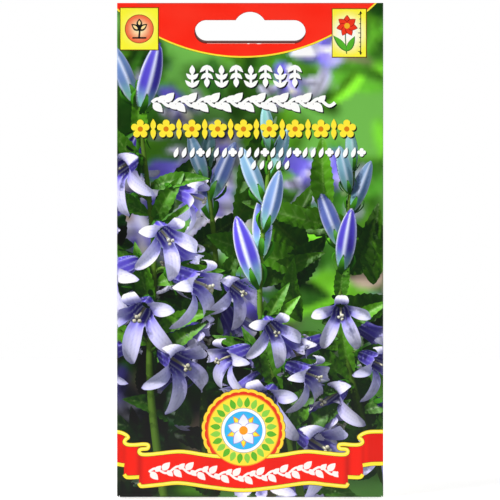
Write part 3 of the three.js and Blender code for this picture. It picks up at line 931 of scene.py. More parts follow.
def height_icon(art):
    """A flower beside an upright scale: how tall the plant grows."""
    left, bottom, right, top = 24.75, -13.5, 34.8, 0.85
    art.framed_block(left, bottom, right, top, glow(WHITE, "#fdf23c", (29.2, -6.4), 7.4, 1.3))
    x, z = 29.1, -4.2
    art.add(stroke(path_through([(x, z), (x - 0.5, z - 3.2), (x - 0.1, z - 8.4)], 8), 0.3), DARK_GREEN)
    for heading, length in ((2.2, 6.3), (1.0, 5.2)):
        art.add(leaf_shape((x - 0.1, z - 7.7), length, 2.0, heading, 0.08), DARK_GREEN)
        art.add(leaf_shape((x - 0.1, z - 7.5), length - 0.4, 1.6, heading, 0.08), "#57b32e")
    for number in range(7):
        heading = PI / 2 + 2 * PI * number / 7
        art.add(leaf_shape((x, z), 3.3, 2.2, heading), DARK_RED)
        art.add(leaf_shape((x, z), 3.1, 1.85, heading), "#ee3a22")
    art.add(disc((x, z), 0.85, 16), "#f6b32c")
    rule = 33.2
    art.add(stroke([(rule, bottom + 0.9), (rule, top - 1.0)], 0.26), INK_BLACK)
    for tip, way in ((top - 0.5, -1), (bottom + 0.5, 1)):
        art.add([(rule, tip), (rule - 0.45, tip + 0.9 * way), (rule + 0.45, tip + 0.9 * way)], INK_BLACK)
    for number in range(9):
        level = bottom + 1.6 + number * (top - bottom - 3.2) / 8
        reach = 0.75 if number % 4 == 0 else 0.42
        art.add(stroke([(rule - reach, level), (rule + 0.1, level)], 0.24), INK_BLACK)


def vine(low, high, level, reach, pitch, width):
    """A running vine: a waved stem with a leaf in each bow, turned up and down by turns."""
    x = np.linspace(low, high, int((high - low) / pitch * 6) + 1)
    stem = stroke(np.stack([x, level(x) + 0.16 * reach * np.sin(PI * (x - low) / pitch)], 1), width)
    shapes = [stem]
    for number in range(int((high - low) / pitch)):
        x = low + (number + 0.35) * pitch
        up = 1 if number % 2 else -1
        before, after = (x - 0.2 * pitch, level(x)), (x + 0.2 * pitch, level(x))
        shapes.append(leaf_shape(before, 0.60 * reach, 0.38 * reach, up * 0.95, -0.12 * up))
        shapes.append(leaf_shape(after, 0.45 * reach, 0.30 * reach, -up * 0.9, 0.1 * up))
    return shapes


def sprig(x, foot, height, way):
    """A little plant: a stem with two pairs of leaves and one at its tip, upright or hanging."""
    heading = way * PI / 2
    tip = foot + way * height
    shapes = [stroke([(x, foot), (x, tip - way * 0.3 * height)], 0.75)]
    shapes.append(leaf_shape((x, tip - way * 0.42 * height), 0.42 * height, 1.7, heading))
    for share, length in ((0.02, 0.44), (0.36, 0.38)):
        level = foot + way * share * height
        for lean in (-0.8, 0.8):
            shapes.append(leaf_shape((x, level), length * height, 1.25, heading + lean))
    return shapes


# The title's rows: their levels, and the step from one motif to the next
SPRIG_ROW, VINE_ROW, BLOOM_ROW = -19.35, -27.2, -35.2
SMALL_ROW, SMALL_FEET, LAST_FEET = -42.2, -43.8, -47.4
SPRIG_PITCH, BLOOM_PITCH, SMALL_PITCH, LAST_PITCH = 4.4, 7.75, 2.42, 2.5


def straight(level):
    """The same level at every place."""
    return lambda x, z=0: level + 0 * x


def sprig_row(art):
    """Eight little plants, upright and hanging by turns."""
    shapes = []
    for number in range(8):
        way = -1 if number % 2 else 1
        shapes.extend(sprig(-17.4 + SPRIG_PITCH * number, SPRIG_ROW - way * 3.4, 6.8, way))
    art.add_shadowed(shapes, WHITE)


def bloom_row(art):
    """Nine yellow blooms with a leaf above and below each gap between them."""
    shapes, hearts = [], []
    for number in range(-4, 5):
        x = -2.0 + BLOOM_PITCH * number
        shapes.append(bloom_shape((x, BLOOM_ROW), 2.85, 5, 0.46))
        hearts.append(disc((x, BLOOM_ROW), 0.8, 14))
        if number < 4:
            for way in (-1, 1):
                foot = (x + BLOOM_PITCH / 2, BLOOM_ROW - 0.3 * way)
                shapes.append(leaf_shape(foot, 3.4, 1.65, way * PI / 2))
    art.add_shadowed(shapes, YELLOW)
    for heart in hearts:
        art.add(heart, "#d9801c")


def small_rows(art):
    """A long row of slanting leaves with a bloom in every fourth place, and a short one below."""
    shapes = []
    for number in range(24):
        x = -22.2 + SMALL_PITCH * number
        if number % 4 == 3:
            shapes.append(bloom_shape((x, SMALL_ROW), 1.3, 4, 0.4))
        else:
            shapes.append(leaf_shape((x - 0.5, SMALL_FEET), 3.3, 1.35, 1.25))
    for number in range(5):
        shapes.append(leaf_shape((0.6 + LAST_PITCH * number, LAST_FEET), 3.0, 1.3, 1.25))
    art.add_shadowed(shapes, WHITE, SHADOW_STEP * 0.75)


def title_ornaments(art):
    """Rows of plain leaf ornament over the picture, in white and yellow with dark drop shadows."""
    sprig_row(art)
    art.add_shadowed(vine(-29.5, 25.5, straight(VINE_ROW), 6.6, 3.44, 1.0), WHITE)
    bloom_row(art)
    small_rows(art)


# The ribbon's right half, from its middle outward: its upper edge through both folds to its tail,
# and its lower edge in three runs
RIBBON_MIDDLE = -2.0
RIBBON_EDGE = [(0, -133.7), (6, -133.6), (11.3, -133.1), (18.6, -132.05), (25.2, -132.6), (28.0, -132.9),
               (30.2, -132.95), (31.2, -132.5), (31.25, -131.7), (30.6, -131.35), (29.0, -131.2),
               (28.6, -130.7), (28.8, -130.0), (30.2, -129.85), (32.1, -130.03), (34.1, -130.05),
               (35.2, -129.8), (35.75, -129.2), (35.4, -128.4), (34.65, -127.8), (35.4, -127.0),
               (36.9, -126.36), (39.0, -126.1), (44.0, -126.1)]
RIBBON_FOOT = [(0, -143.7), (9.5, -142.8), (19, -141.5), (25, -142.0), (30.1, -142.5), (31.0, -142.3),
               (31.4, -141.6)]
RIBBON_FOLD_FOOT = [(31.0, -139.7), (34.2, -139.85), (35.3, -139.65), (35.8, -138.9)]
RIBBON_TAIL_FOOT = [(35.8, -136.2), (37.3, -135.95), (39.0, -135.75), (44.0, -135.7)]
BORDER = 1.08


def both_sides(places, steps):
    """A path that runs from the ribbon's left end to its right one."""
    half = np.array(places, float)
    return path_through(np.concatenate([half[:0:-1] * (-1, 1), half]), 2 * steps - 1) + (RIBBON_MIDDLE, 0)


def ribbon_ink(at):
    """The ribbon's red, darker where it turns away: at its folds, its tails and its waves."""
    away = np.abs(at[:, 0] - RIBBON_MIDDLE)
    turn = 0.85 * band(away, 31.2, 0.9) + 0.55 * smooth((away - 36) / 2)
    turn = turn + 0.5 * band(away, 35.9, 0.7) + 0.25 * band(away, 10, 4)
    return mix(ink("#f31e0c"), ink("#c8160e"), np.clip(turn, 0, 1))


def ribbon(art):
    """A red ribbon with yellow borders, folded back twice at each end."""
    tail = [(35.7, -136.0), (45, -135.7), (45, -126.1), (37, -126.4), (35.0, -127.4), (35.7, -129.0)]
    inner = [(31.0, -139.7), (34.2, -139.85), (35.9, -139.2), (35.9, -129.2), (34.1, -130.0), (31.0, -130.1)]
    curl = [(28.7, -130.2), (31.6, -130.0), (31.6, -132.3), (29.0, -131.3)]
    notch = [(34.7, -128.1), (35.9, -127.5), (35.9, -129.2)]
    for side in (-1, 1):
        turn, away, order = np.array([side, 1]), np.array([RIBBON_MIDDLE, 0]), slice(None, None, side)
        for shape, colour in ((tail, ribbon_ink), (inner, ribbon_ink), (curl, DARK_RED), (notch, DARK_RED)):
            art.add((np.array(shape) * turn)[order] + away, colour)
        for places, steps in ((RIBBON_TAIL_FOOT, 8), (RIBBON_FOLD_FOOT, 12)):
            path = path_through(places, steps) * turn + away
            art.add(stroke(path[order], BORDER + 0.24), BROWN)
            art.add(stroke(path[order], BORDER), YELLOW)
    crest = both_sides(RIBBON_EDGE[:8], 36)
    base = both_sides(RIBBON_FOOT, 24)
    art.add(np.concatenate([base, crest[::-1]]), ribbon_ink)
    for path in (both_sides(RIBBON_EDGE, 110), base):
        art.add(stroke(path, BORDER + 0.26), BROWN)
        art.add(stroke(path, BORDER), YELLOW)
        art.add(stroke(path + (0, 0.12), 0.3), "#fff27a")


def ribbon_vine(art):
    """A white vine that follows the ribbon's waves."""
    foot = path_through(RIBBON_FOOT[:5], 60)

    def level(x):
        away = np.abs(np.asarray(x, float) - RIBBON_MIDDLE)
        return np.interp(away, foot[:, 0], foot[:, 1]) + 4.1

    for shape in vine(RIBBON_MIDDLE - 28.4, RIBBON_MIDDLE + 28.4, level, 5.5, 3.55, 0.7):
        art.add(shape, "#fff2ee")


ROSETTE = (RIBBON_MIDDLE, -125.7)


def rosette_back(art):
    """The rosette's finely scalloped gold and red rings, which the ribbon crosses."""
    for radius, code in ((12.75, BROWN), (12.6, "#ffd83c"), (11.7, "#e5391f")):
        art.add(bloom_shape(ROSETTE, radius, 26, 0.03), code)


def rosette_front(art):
    """A bellflower on a pale disc, in a ring of leaves."""
    art.add(disc(ROSETTE, 10.75, 64), AMBER)
    art.add(disc(ROSETTE, 10.45, 64), glow("#f6e28c", "#fbe23a", ROSETTE, 10.6, 1.2))
    for number in range(24):
        heading = 2 * PI * (number + 0.5) / 24
        foot = np.array(ROSETTE) + 6.9 * np.array([math.cos(heading), math.sin(heading)])
        art.add(leaf_shape(foot, 3.2, 1.75, heading), "#5fb42c" if number % 2 else "#8ad04a")
    art.add(disc(ROSETTE, 6.75, 48), "#8a9a9a")
    art.add(disc(ROSETTE, 6.6, 48), WHITE)
    art.add(disc(ROSETTE, 5.75, 48), glow("#4cc8f6", "#38b4ee", ROSETTE, 5.75))
    for number in range(5):
        heading = -PI / 2 + 2 * PI * number / 5
        art.add(leaf_shape(ROSETTE, 5.2, 2.2, heading), "#e8762a")
        art.add(leaf_shape(ROSETTE, 4.9, 1.7, heading), YELLOW)
    for number in range(5):
        heading = PI / 2 + 2 * PI * number / 5
        art.add(leaf_shape(ROSETTE, 5.1, 3.4, heading), "#8a8ad8")
        art.add(leaf_shape(ROSETTE, 4.85, 3.0, heading), glow("#ffffff", "#e4e6fc", ROSETTE, 5.0))
    art.add(disc(ROSETTE, 1.3, 20), "#f8a024")


# The back's print

PICTURE_HALF, PICTURE_FRAME = 6.3, 0.3


def growing_stage(art, x, z, stage):
    """One of three small pictures: a seed in soil, a sprout, a plant in bloom."""
    half, framed = PICTURE_HALF, PICTURE_HALF + PICTURE_FRAME
    art.add(block(x - framed, z - framed, x + framed, z + framed), DARK_GREEN)
    art.add(block(x - half, z - half, x + half, z + half), "#eaf4dc")
    art.add(block(x - half, z - half, x + half, z - 2.9), "#8a5a34")
    if stage == 0:
        art.add(bloom_shape((x, z - 4.2), 0.9, 2, 0.3, 0), "#f0d9a0")
        for number in range(3):
            art.add(leaf_shape((x - 2.4 + 2.4 * number, z + 4.4), 2.6, 1.3, -PI / 2), "#4a9bd0")
        return
    height = 2.4 if stage == 1 else 5.6
    art.add(stroke([(x, z - 3.2), (x, z - 3.0 + height)], 0.5), LEAF_GREEN)
    for number in range(stage):
        level = z - 3.2 + (number + 1) * height / (stage + 0.6)
        for lean in (-1, 1):
            art.add(leaf_shape((x, level), 3.4, 1.5, PI / 2 - lean * 0.95, 0.1 * lean), LEAF_GREEN)
    if stage == 2:
        art.add(bloom_shape((x, z + 3.2), 2.7, 5, 0.45), SKY_VIOLET)
        art.add(disc((x, z + 3.2), 0.7, 12), YELLOW)


def care_sign(art, x, z, number):
    """One of four round signs: sun, water, potting, and spacing."""
    art.add(disc((x, z), 5.0), "#3f7fb8")
    art.add(disc((x, z), 4.6), "#e6f2fa")
    if number == 0:
        art.add(bloom_shape((x, z), 3.4, 12, 0.4), "#f5a623")
        art.add(disc((x, z), 1.8, 20), YELLOW)
    elif number == 1:
        art.add(leaf_shape((x, z - 3.0), 6.0, 3.6, PI / 2), "#3f9bd8")
    elif number == 2:
        art.add([(x - 2.2, z + 1.4), (x - 1.5, z - 3.0), (x + 1.5, z - 3.0), (x + 2.2, z + 1.4)], "#b5562c")
        for lean in (-1, 1):
            art.add(leaf_shape((x, z + 1.2), 3.0, 1.4, PI / 2 - 0.6 * lean), LEAF_GREEN)
    else:
        art.add(stroke([(x, z - 3.4), (x, z + 3.4)], 0.35), INK_BLACK)
        for tick in range(5):
            level = z - 3.2 + 1.6 * tick
            art.add(stroke([(x - 0.9, level), (x, level)], 0.3), INK_BLACK)
        art.add(leaf_shape((x + 0.6, z - 3.0), 5.6, 1.8, PI / 2), LEAF_GREEN)


def sowing_calendar(art, left, right, foot, top):
    """Twelve columns, one a month, with a bar each for sowing, planting out and bloom."""
    column = (right - left) / 12
    art.add(block(left - 0.3, foot, right + 0.3, top), "#7d8a70")
    for number in range(12):
        x = left + number * column
        ground = "#f2f1e4" if number % 2 else WHITE
        art.add(block(x + 0.12, foot + 0.2, x + column - 0.12, top - 0.3), ground)
        art.add(disc((x + column / 2, top - 1.7), 0.55, 10), "#7d8a70")
    bars = ((4.4, 2, 4, "#8d86e0"), (9.0, 4, 6, LEAF_GREEN), (13.6, 6, 10, "#f5a623"))
    for drop, first, last, code in bars:
        z = top - drop
        art.add(block(left + first * column + 0.3, z - 1.4, left + last * column - 0.3, z + 1.4), code)


BACK_MARGIN = 3.2
BACK_HEADER_FOOT, BACK_FOOT_TOP, BACK_PIPING = -12.5, -125.5, 0.9
STAGE_PITCH, STAGE_ROW = 20.5, -44.2
SIGN_RADIUS, SIGN_ROW = 5.6, -81.0
NOTE_LINES, FIRST_NOTE_LINE, NOTE_PITCH = 7, -91.5, 4.6
SIDE_BLEED, FOOT_BLEED = 2.0, 3.0


def back_ground(art, bottom, top, colour, overlap=0.1):
    """A ground across the whole back, from the right fold to past its free edge."""
    art.add(block(S_BACK - overlap, bottom, S_BACK_EDGE + 1, top), colour)


def back_print(art):
    """The back from its top down: header, vine, growing stages, calendar, signs, lines and foot."""
    left, right = S_BACK + BACK_MARGIN, S_FLAP_COVER - BACK_MARGIN
    middle = (left + right) / 2
    back_ground(art, BACK_FOOT_TOP, Z_TOP + 1, "#fbfaf0", 0.2)
    back_ground(art, BACK_HEADER_FOOT - BACK_PIPING, Z_TOP + 1, YELLOW)
    back_ground(art, BACK_HEADER_FOOT, Z_TOP + 1, clouded(RED, 0.1))
    # A darker red line round the back's slot: painted shade of its cut edge.
    art.add(on_back(slot_outline(0.16) + BACK_SLOT_SHIFT), "#b8281c")
    art.add(block(left, -34.5, right, -17.0), LEAF_GREEN)
    art.add(block(left + 0.35, -34.15, right - 0.35, -17.35), "#d5ebbc")
    for shape in vine(left + 4, right - 4, straight(-25.7), 8.5, 4.9, 0.8):
        art.add(shape, LEAF_GREEN)
    for stage in range(3):
        growing_stage(art, middle + (stage - 1) * STAGE_PITCH, STAGE_ROW, stage)
    for number in range(2):
        x = middle + (number - 0.5) * STAGE_PITCH
        art.add([(x - 1.6, STAGE_ROW - 1.4), (x + 1.5, STAGE_ROW), (x - 1.6, STAGE_ROW + 1.4)], "#e5561f")
    sowing_calendar(art, left, right, -71.0, -53.6)
    for number in range(4):
        x = left + SIGN_RADIUS + number * (right - left - 2 * SIGN_RADIUS) / 3
        care_sign(art, x, SIGN_ROW, number)
    for number in range(NOTE_LINES):
        z = FIRST_NOTE_LINE - NOTE_PITCH * number
        art.add(block(left, z, right, z + 0.35), "#8fa07c")
    back_ground(art, Z_FOOT - 1, BACK_FOOT_TOP, clouded(LEAF_GREEN, 0.05), 0.2)
    back_ground(art, BACK_FOOT_TOP - BACK_PIPING, BACK_FOOT_TOP, YELLOW)


def flap_print(art):
    """The glue flaps: plain paper past a narrow bleed of the front's picture."""
    art.add(block(S_FLAP_EDGE - 1, Z_FOOT - 1, S_FLAP - SIDE_BLEED, Z_TOP + 1), PAPER_WHITE)
    art.add(block(X_LEFT - 1, Z_FOOT - 20, X_RIGHT + 1, Z_FOOT - FOOT_BLEED), PAPER_WHITE)


def front_print(art):
    """The front's artwork, from what lies lowest to what lies on top."""
    header(art)
    life_span_icon(art)
    height_icon(art)
    title_ornaments(art)
    rosette_back(art)
    ribbon(art)
    rosette_front(art)
    ribbon_vine(art)


# The printed sheet

# Steps between the places where the sheet's triangles meet, the finest over the garden picture,
# and how far the painted shade round the back's slot reaches
FINE, MEDIUM, COARSE, PLAIN = 0.40, 1.1, 2.6, 3.0
BLEED_STEP = 0.7
LONGEST_EDGE = 3.0
SLOT_SHADE_DEPTH = 0.9


def grid_places(left, bottom, right, top, step):
    """Places a step apart in a block, every other row of them shifted by half a step."""
    x, z = np.meshgrid(np.arange(left, right, step), np.arange(bottom, top, step), indexing="ij")
    x = x + np.where(np.arange(x.shape[1]) % 2, step / 2, 0)
    return np.stack([x.ravel(), z.ravel()], 1)


def fold_lines():
    """Lines along the folds, so that triangles there follow the bend."""
    inset = BOTTOM_FLAP_INSET / 2
    across = [X_LEFT + inset, X_STEP, X_STEP + STEP_RUN, X_RIGHT - inset]
    folds = [bottom_fold(x) for x in across]
    lines = []
    for turn in np.linspace(0, PI, 6):
        for s in (X_LEFT - turn * LEFT_RADIUS, X_RIGHT + turn * RIGHT_RADIUS):
            lines.append([(s, Z_FOOT - 1), (s, Z_TOP + 1)])
        lines.append([(x, start - turn * radius) for x, (radius, start) in zip(across, folds)])
    return lines


def thinned(outline, step=0.3):
    """An outline without the places that lie closer than a step to the one before."""
    kept = [outline[0]]
    for place in outline[1:]:
        if np.linalg.norm(place - kept[-1]) > step:
            kept.append(place)
    return np.array(kept)


def stepped(path, closed, longest=LONGEST_EDGE):
    """A path whose long edges are cut up, so that they follow the packet's swell."""
    path = np.asarray(path, float)
    ahead = np.roll(path, -1, axis=0)
    cuts = np.maximum(np.ceil(np.linalg.norm(ahead - path, axis=1) / longest), 1).astype(int)
    if not closed:
        cuts[-1] = 1
    return np.concatenate([a + (b - a) * np.arange(n)[:, None] / n for a, b, n in zip(path, ahead, cuts)])


def add_line(points, edges, line):
    """Adds an open line's places, and the edges that run along it."""
    line = stepped(line, False)
    start = len(points)
    points.extend(line)
    edges.extend((start + k, start + k + 1) for k in range(len(line) - 1))


def triangulated(outlines, holes, lines, places):
    """Triangles in the first outline and outside its holes, which are the outlines after it.

    With them come the numbers of the topmost shapes on them, below 0 where they are bare.
    """
    points, edges, faces = [], [], []
    for outline in outlines:
        outline = stepped(outline, True)
        faces.append(list(range(len(points), len(points) + len(outline))))
        points.extend(outline)
    for line in lines:
        add_line(points, edges, line)
    points.extend(places)
    points = [Vector(place) for place in points]
    found, _, triangles, _, _, inside = delaunay_2d_cdt(points, edges, faces, 0, 1e-4, True)
    kept = [
        (triangle, max(held) - holes - 1) for triangle, held in zip(triangles, inside)
        if 0 in held and not any(0 < number <= holes for number in held)
    ]
    triangles, tops = zip(*kept)
    return np.array(found), np.array(triangles), np.array(tops)


def cut_outlines():
    """The die's three cuts: round the blank, and the slot in the front and in the back."""
    return [blank_outline(), slot_outline(), on_back(slot_outline() + BACK_SLOT_SHIFT)]


def printed_face(garden, art):
    """The outer face: places on the flat sheet, triangles, and each one's shape in the artwork."""
    lines = fold_lines()
    picture_foot, picture_top = Z_FOOT + 1.0, -10
    for owner, outline in enumerate(garden.outlines):
        outline = np.clip(thinned(outline), (X_LEFT, picture_foot + 0.2), (X_RIGHT, picture_top))
        lines.extend(garden.shown_runs(np.concatenate([outline, outline[:1]]), owner))
    fine = grid_places(X_LEFT + 0.3, picture_foot, X_RIGHT, picture_top, FINE)
    fine = fine[[garden.seen_at(place) >= 0 for place in fine]]
    side_bleed, foot_bleed = S_FLAP - SIDE_BLEED + 0.1, Z_FOOT - FOOT_BLEED + 0.1
    flap_end = Z_FOOT - BOTTOM_FLAP + 1.5
    places = np.concatenate([
        fine,
        grid_places(X_LEFT + 0.3, picture_foot, X_RIGHT, Z_TOP - 0.5, MEDIUM),
        grid_places(S_BACK + 1, Z_FOOT + 2, S_BACK_EDGE, Z_TOP - 0.5, COARSE),
        grid_places(S_FLAP_EDGE + 1, Z_FOOT + 5, S_FLAP - 0.5, Z_TOP - 4, COARSE),
        grid_places(side_bleed, picture_foot, X_LEFT, Z_TOP - 0.5, BLEED_STEP),
        grid_places(X_LEFT + 1, foot_bleed, X_RIGHT - 1, Z_FOOT + 0.8, BLEED_STEP),
        grid_places(X_LEFT + 2, flap_end, X_RIGHT - 2, foot_bleed - 0.5, COARSE),
    ])
    cuts = cut_outlines()
    return triangulated([*cuts, *art.outlines], len(cuts) - 1, lines, places)


def picture_colours(garden, hedge, at, seen):
    """The garden picture's inks: what is in focus, and the hedge behind it."""
    colours = np.empty((len(at), 3))
    near = seen >= 0
    colours[near] = light_garden(garden, at[near], seen[near])
    colours[~near] = out_of_focus(hedge, at[~near])
    return graded(colours)


# How far each corner's ink is read towards its triangle's middle, and how dark the painted shade over the
# right fold is
INWARD = 0.02
PAINTED_FOLD_SHADE = 0.5


def sheet_colours(garden, hedge, art, places, triangles, shape):
    """The colour at every triangle's corners, read a little inside the triangle: the inks, and painted shade
    over the right fold.
    """
    middle = places[triangles].mean(1)
    pictured = (middle[:, 0] > S_FLAP - SIDE_BLEED) & (middle[:, 0] < S_BACK + 0.2) & (shape < 0)
    seen = np.full(len(middle), -1)
    seen[pictured] = [garden.seen_at(m) for m in middle[pictured]]
    nudged = places[triangles] + INWARD * (middle[:, None] - places[triangles])
    keys, first, back = np.unique(
        np.stack([triangles.ravel(), np.repeat(shape, 3), np.repeat(seen, 3)], 1),
        axis=0, return_index=True, return_inverse=True,
    )
    at = nudged.reshape(-1, 2)[first]
    colours = np.tile(ink(PAPER_WHITE), (len(keys), 1))
    for number, colour in enumerate(art.inks):
        mine = keys[:, 1] == number
        colours[mine] = colour(at[mine]) if callable(colour) else colour
    mine = (keys[:, 1] < 0) & (at[:, 0] > S_FLAP - SIDE_BLEED - 1) & (at[:, 0] < S_BACK + 0.4)
    # Painted shade: the picture darkens across the right fold's turn.
    fold_darkening = PAINTED_FOLD_SHADE * smooth((at[mine, 0] - X_RIGHT) / RIGHT_RADIUS)
    picture = picture_colours(garden, hedge, at[mine], keys[mine, 2])
    colours[mine] = picture * (1 - fold_darkening)[:, None]
    return np.clip(colours, 0, 1)[back.ravel()].reshape(-1, 3, 3)


# Materials

def add_node(tree, kind, links=None, **settings):
    """Adds a node, sets its properties and its in_... sockets, and links its inputs."""
    node = tree.nodes.new(kind)
    for name, value in settings.items():
        if name.startswith("in_"):
            node.inputs[name[3:].replace("_", " ")].default_value = value
        else:
            setattr(node, name, value)
    for name, output in (links or {}).items():
        tree.links.new(output, node.inputs[name])
    return node


def new_material(name):
    material = bpy.data.materials.new(name)
    material.use_nodes = True
    material.node_tree.nodes.clear()
    return material, material.node_tree


# The patterns' widths in millimetres. The grain of coated paper, the fibre of bare paper and the
# pits of a seed coat are finer in life, and are drawn as coarse as they need to be to show.
PAPER_GRAIN = 1.11
PAPER_FIBRE = 0.556
GLUE_STREAK = 2.5
FILM_WRINKLE = 4.55
SEED_PIT = 0.111


def coated_printed_paper():
    """Gloss-coated offset paper: bright inks under a thin smooth coat, over faint paper grain."""
    material, tree = new_material("coated_printed_paper")
    # The printed colour from the corners, with painted shade over the right fold, along the top edge and
    # round the slot.
    ink_and_painted_shade = add_node(tree, "ShaderNodeAttribute", attribute_name="InkAndPaintedShade")
    place = add_node(tree, "ShaderNodeTexCoord")
    grain = add_node(
        tree, "ShaderNodeTexNoise", {"Vector": place.outputs["Object"]},
        in_Scale=1 / (PAPER_GRAIN * MM), in_Detail=4.0,
    )
    bump = add_node(
        tree, "ShaderNodeBump", {"Height": grain.outputs["Fac"]},
        in_Strength=0.06, in_Distance=0.2 * MM,
    )
    shader = add_node(
        tree, "ShaderNodeBsdfPrincipled",
        {"Base Color": ink_and_painted_shade.outputs["Color"], "Normal": bump.outputs["Normal"]},
        in_Roughness=0.30, in_Specular_IOR_Level=0.2, in_Coat_Weight=0.06, in_Coat_Roughness=0.15,
    )
    add_node(tree, "ShaderNodeOutputMaterial", {"Surface": shader.outputs["BSDF"]})
    return material


def uncoated_paper():
    """The sheet's plain inner side and its cut edges: matt white fibre that barely shines, with painted
    shade round the back's slot read from its corners.
    """
    material, tree = new_material("uncoated_paper")
    tone = add_node(tree, "ShaderNodeAttribute", attribute_name="InkAndPaintedShade")
    place = add_node(tree, "ShaderNodeTexCoord")
    fibre = add_node(
        tree, "ShaderNodeTexNoise", {"Vector": place.outputs["Object"]},
        in_Scale=1 / (PAPER_FIBRE * MM), in_Detail=5.0,
    )
    bump = add_node(
        tree, "ShaderNodeBump", {"Height": fibre.outputs["Fac"]},
        in_Strength=0.2, in_Distance=0.2 * MM,
    )
    shader = add_node(
        tree, "ShaderNodeBsdfPrincipled",
        {"Base Color": tone.outputs["Color"], "Normal": bump.outputs["Normal"]},
        in_Roughness=0.85, in_Specular_IOR_Level=0.15,
    )
    add_node(tree, "ShaderNodeOutputMaterial", {"Surface": shader.outputs["BSDF"]})
    return material


# Pieces

def linked(name, data):
    """An object for a mesh, a lamp or a camera, put in the scene."""
    piece = bpy.data.objects.new(name, data)
    bpy.context.collection.objects.link(piece)
    return piece


def painted_shade_between_layers(places):
    """The bare inner side's colour: white paper, with painted shade where the two layers part round the
    slot.
    """
    across = S_BACK + X_RIGHT - places[:, 0] - BACK_SLOT_SHIFT[0]
    up = places[:, 1] - BACK_SLOT_SHIFT[1] + HUMP_HEIGHT + SLOT_ARM_HEIGHT / 2
    beyond_end = np.maximum(np.abs(across) - (SLOT_WIDTH - SLOT_ARM_HEIGHT) / 2, 0)
    away = np.hypot(beyond_end, up) - SLOT_ARM_HEIGHT / 2
    # Painted shade: dark red-brown on the inner side round the lower half of the back's slot, fading out
    # past a narrow band.
    shade = 0.88 + 0.12 * smooth(away / SLOT_SHADE_DEPTH)
    shade = shade * (1 - smooth((away - 1.3 * SLOT_SHADE_DEPTH) / (0.6 * SLOT_SHADE_DEPTH))) * (up < 0)
    return mix(ink(PAPER_WHITE), ink("#5c0e08"), shade)


def in_outline(points, outline):
    """Whether each point lies inside an outline."""
    x, z = points[:, 0], points[:, 1]
    inside = np.zeros(len(points), bool)
    for (x0, z0), (x1, z1) in zip(outline, np.roll(outline, -1, axis=0)):
        if z0 != z1:
            inside ^= ((z0 > z) != (z1 > z)) & (x < x0 + (z - z0) * (x1 - x0) / (z1 - z0))
    return inside


def rim_edges(triangles):
    """The outer face's boundary, each edge in the order in which its triangle runs it."""
    edges = np.concatenate([triangles[:, [0, 1]], triangles[:, [1, 2]], triangles[:, [2, 0]]])
    key = edges.min(1).astype(np.int64) * (edges.max() + 1) + edges.max(1)
    _, first, counts = np.unique(key, return_index=True, return_counts=True)
    return edges[first[counts == 1]]


def plain_face(places, rim):
    """The inner face: the same outline in larger triangles, and which of its places meet the rim."""
    ends = np.unique(rim)
    number = {int(end): k for k, end in enumerate(ends)}
    points = list(places[ends])
    edges = [(number[int(a)], number[int(b)]) for a, b in rim]
    for line in fold_lines():
        add_line(points, edges, line)
    # Rings round the back's slot, where the painted shade on the inner side fades.
    for away in (SLOT_SHADE_DEPTH, 2 * SLOT_SHADE_DEPTH):
        around_slot = stepped(on_back(slot_outline(away) + BACK_SLOT_SHIFT), True, SLOT_SHADE_DEPTH)
        points.extend(thinned(around_slot[around_slot[:, 1] < Z_TOP - 0.2], 0.8))
    points.extend(grid_places(X_LEFT + 2, Z_FOOT + 3, X_RIGHT - 1, Z_TOP - 1, PLAIN))
    points.extend(grid_places(S_BACK + 2, Z_FOOT + 3, S_BACK_EDGE - 1, Z_TOP - 1, PLAIN))
    points = [Vector(place) for place in points]
    found, _, triangles, origins, _, _ = delaunay_2d_cdt(points, edges, [], 0, 1e-5, True)
    found, triangles = np.array(found), np.array(triangles)
    meets = {
        int(ends[origin]): k
        for k, held in enumerate(origins) for origin in held if origin < len(ends)
    }
    middle = found[triangles].mean(1)
    blank, slot, back_slot = cut_outlines()
    inside = in_outline(middle, blank) & ~in_outline(middle, slot) & ~in_outline(middle, back_slot)
    return found, triangles[inside], meets


def lay_corner_colours(mesh, at, colours):
    """Gives every corner its colour: the printed triangles' inks and painted shade come first, then the
    plain side with its painted shade round the slot.
    """
    printed = 3 * len(colours)
    corner_colour = np.ones((len(at), 4), np.float32)
    corner_colour[:printed, :3] = colours.reshape(-1, 3)
    corner_colour[printed:, :3] = painted_shade_between_layers(at[printed:])
    layer = mesh.color_attributes.new("InkAndPaintedShade", "FLOAT_COLOR", "CORNER")
    layer.data.foreach_set("color", corner_colour.ravel())


def lay_flat_map(mesh, at, printed):
    """Maps the sheet as it lies flat, with its plain side small in the gap below the back."""
    low, high = at.min(0), at.max(0)
    sheet_map = (at - low) / (high - low)
    sheet_map[printed:] = sheet_map[printed:] * (0.4, 0.03) + (0.58, 0.01)
    flat_map = mesh.uv_layers.new(name="OFBake")
    flat_map.data.foreach_set("uv", sheet_map.astype(np.float32).ravel())


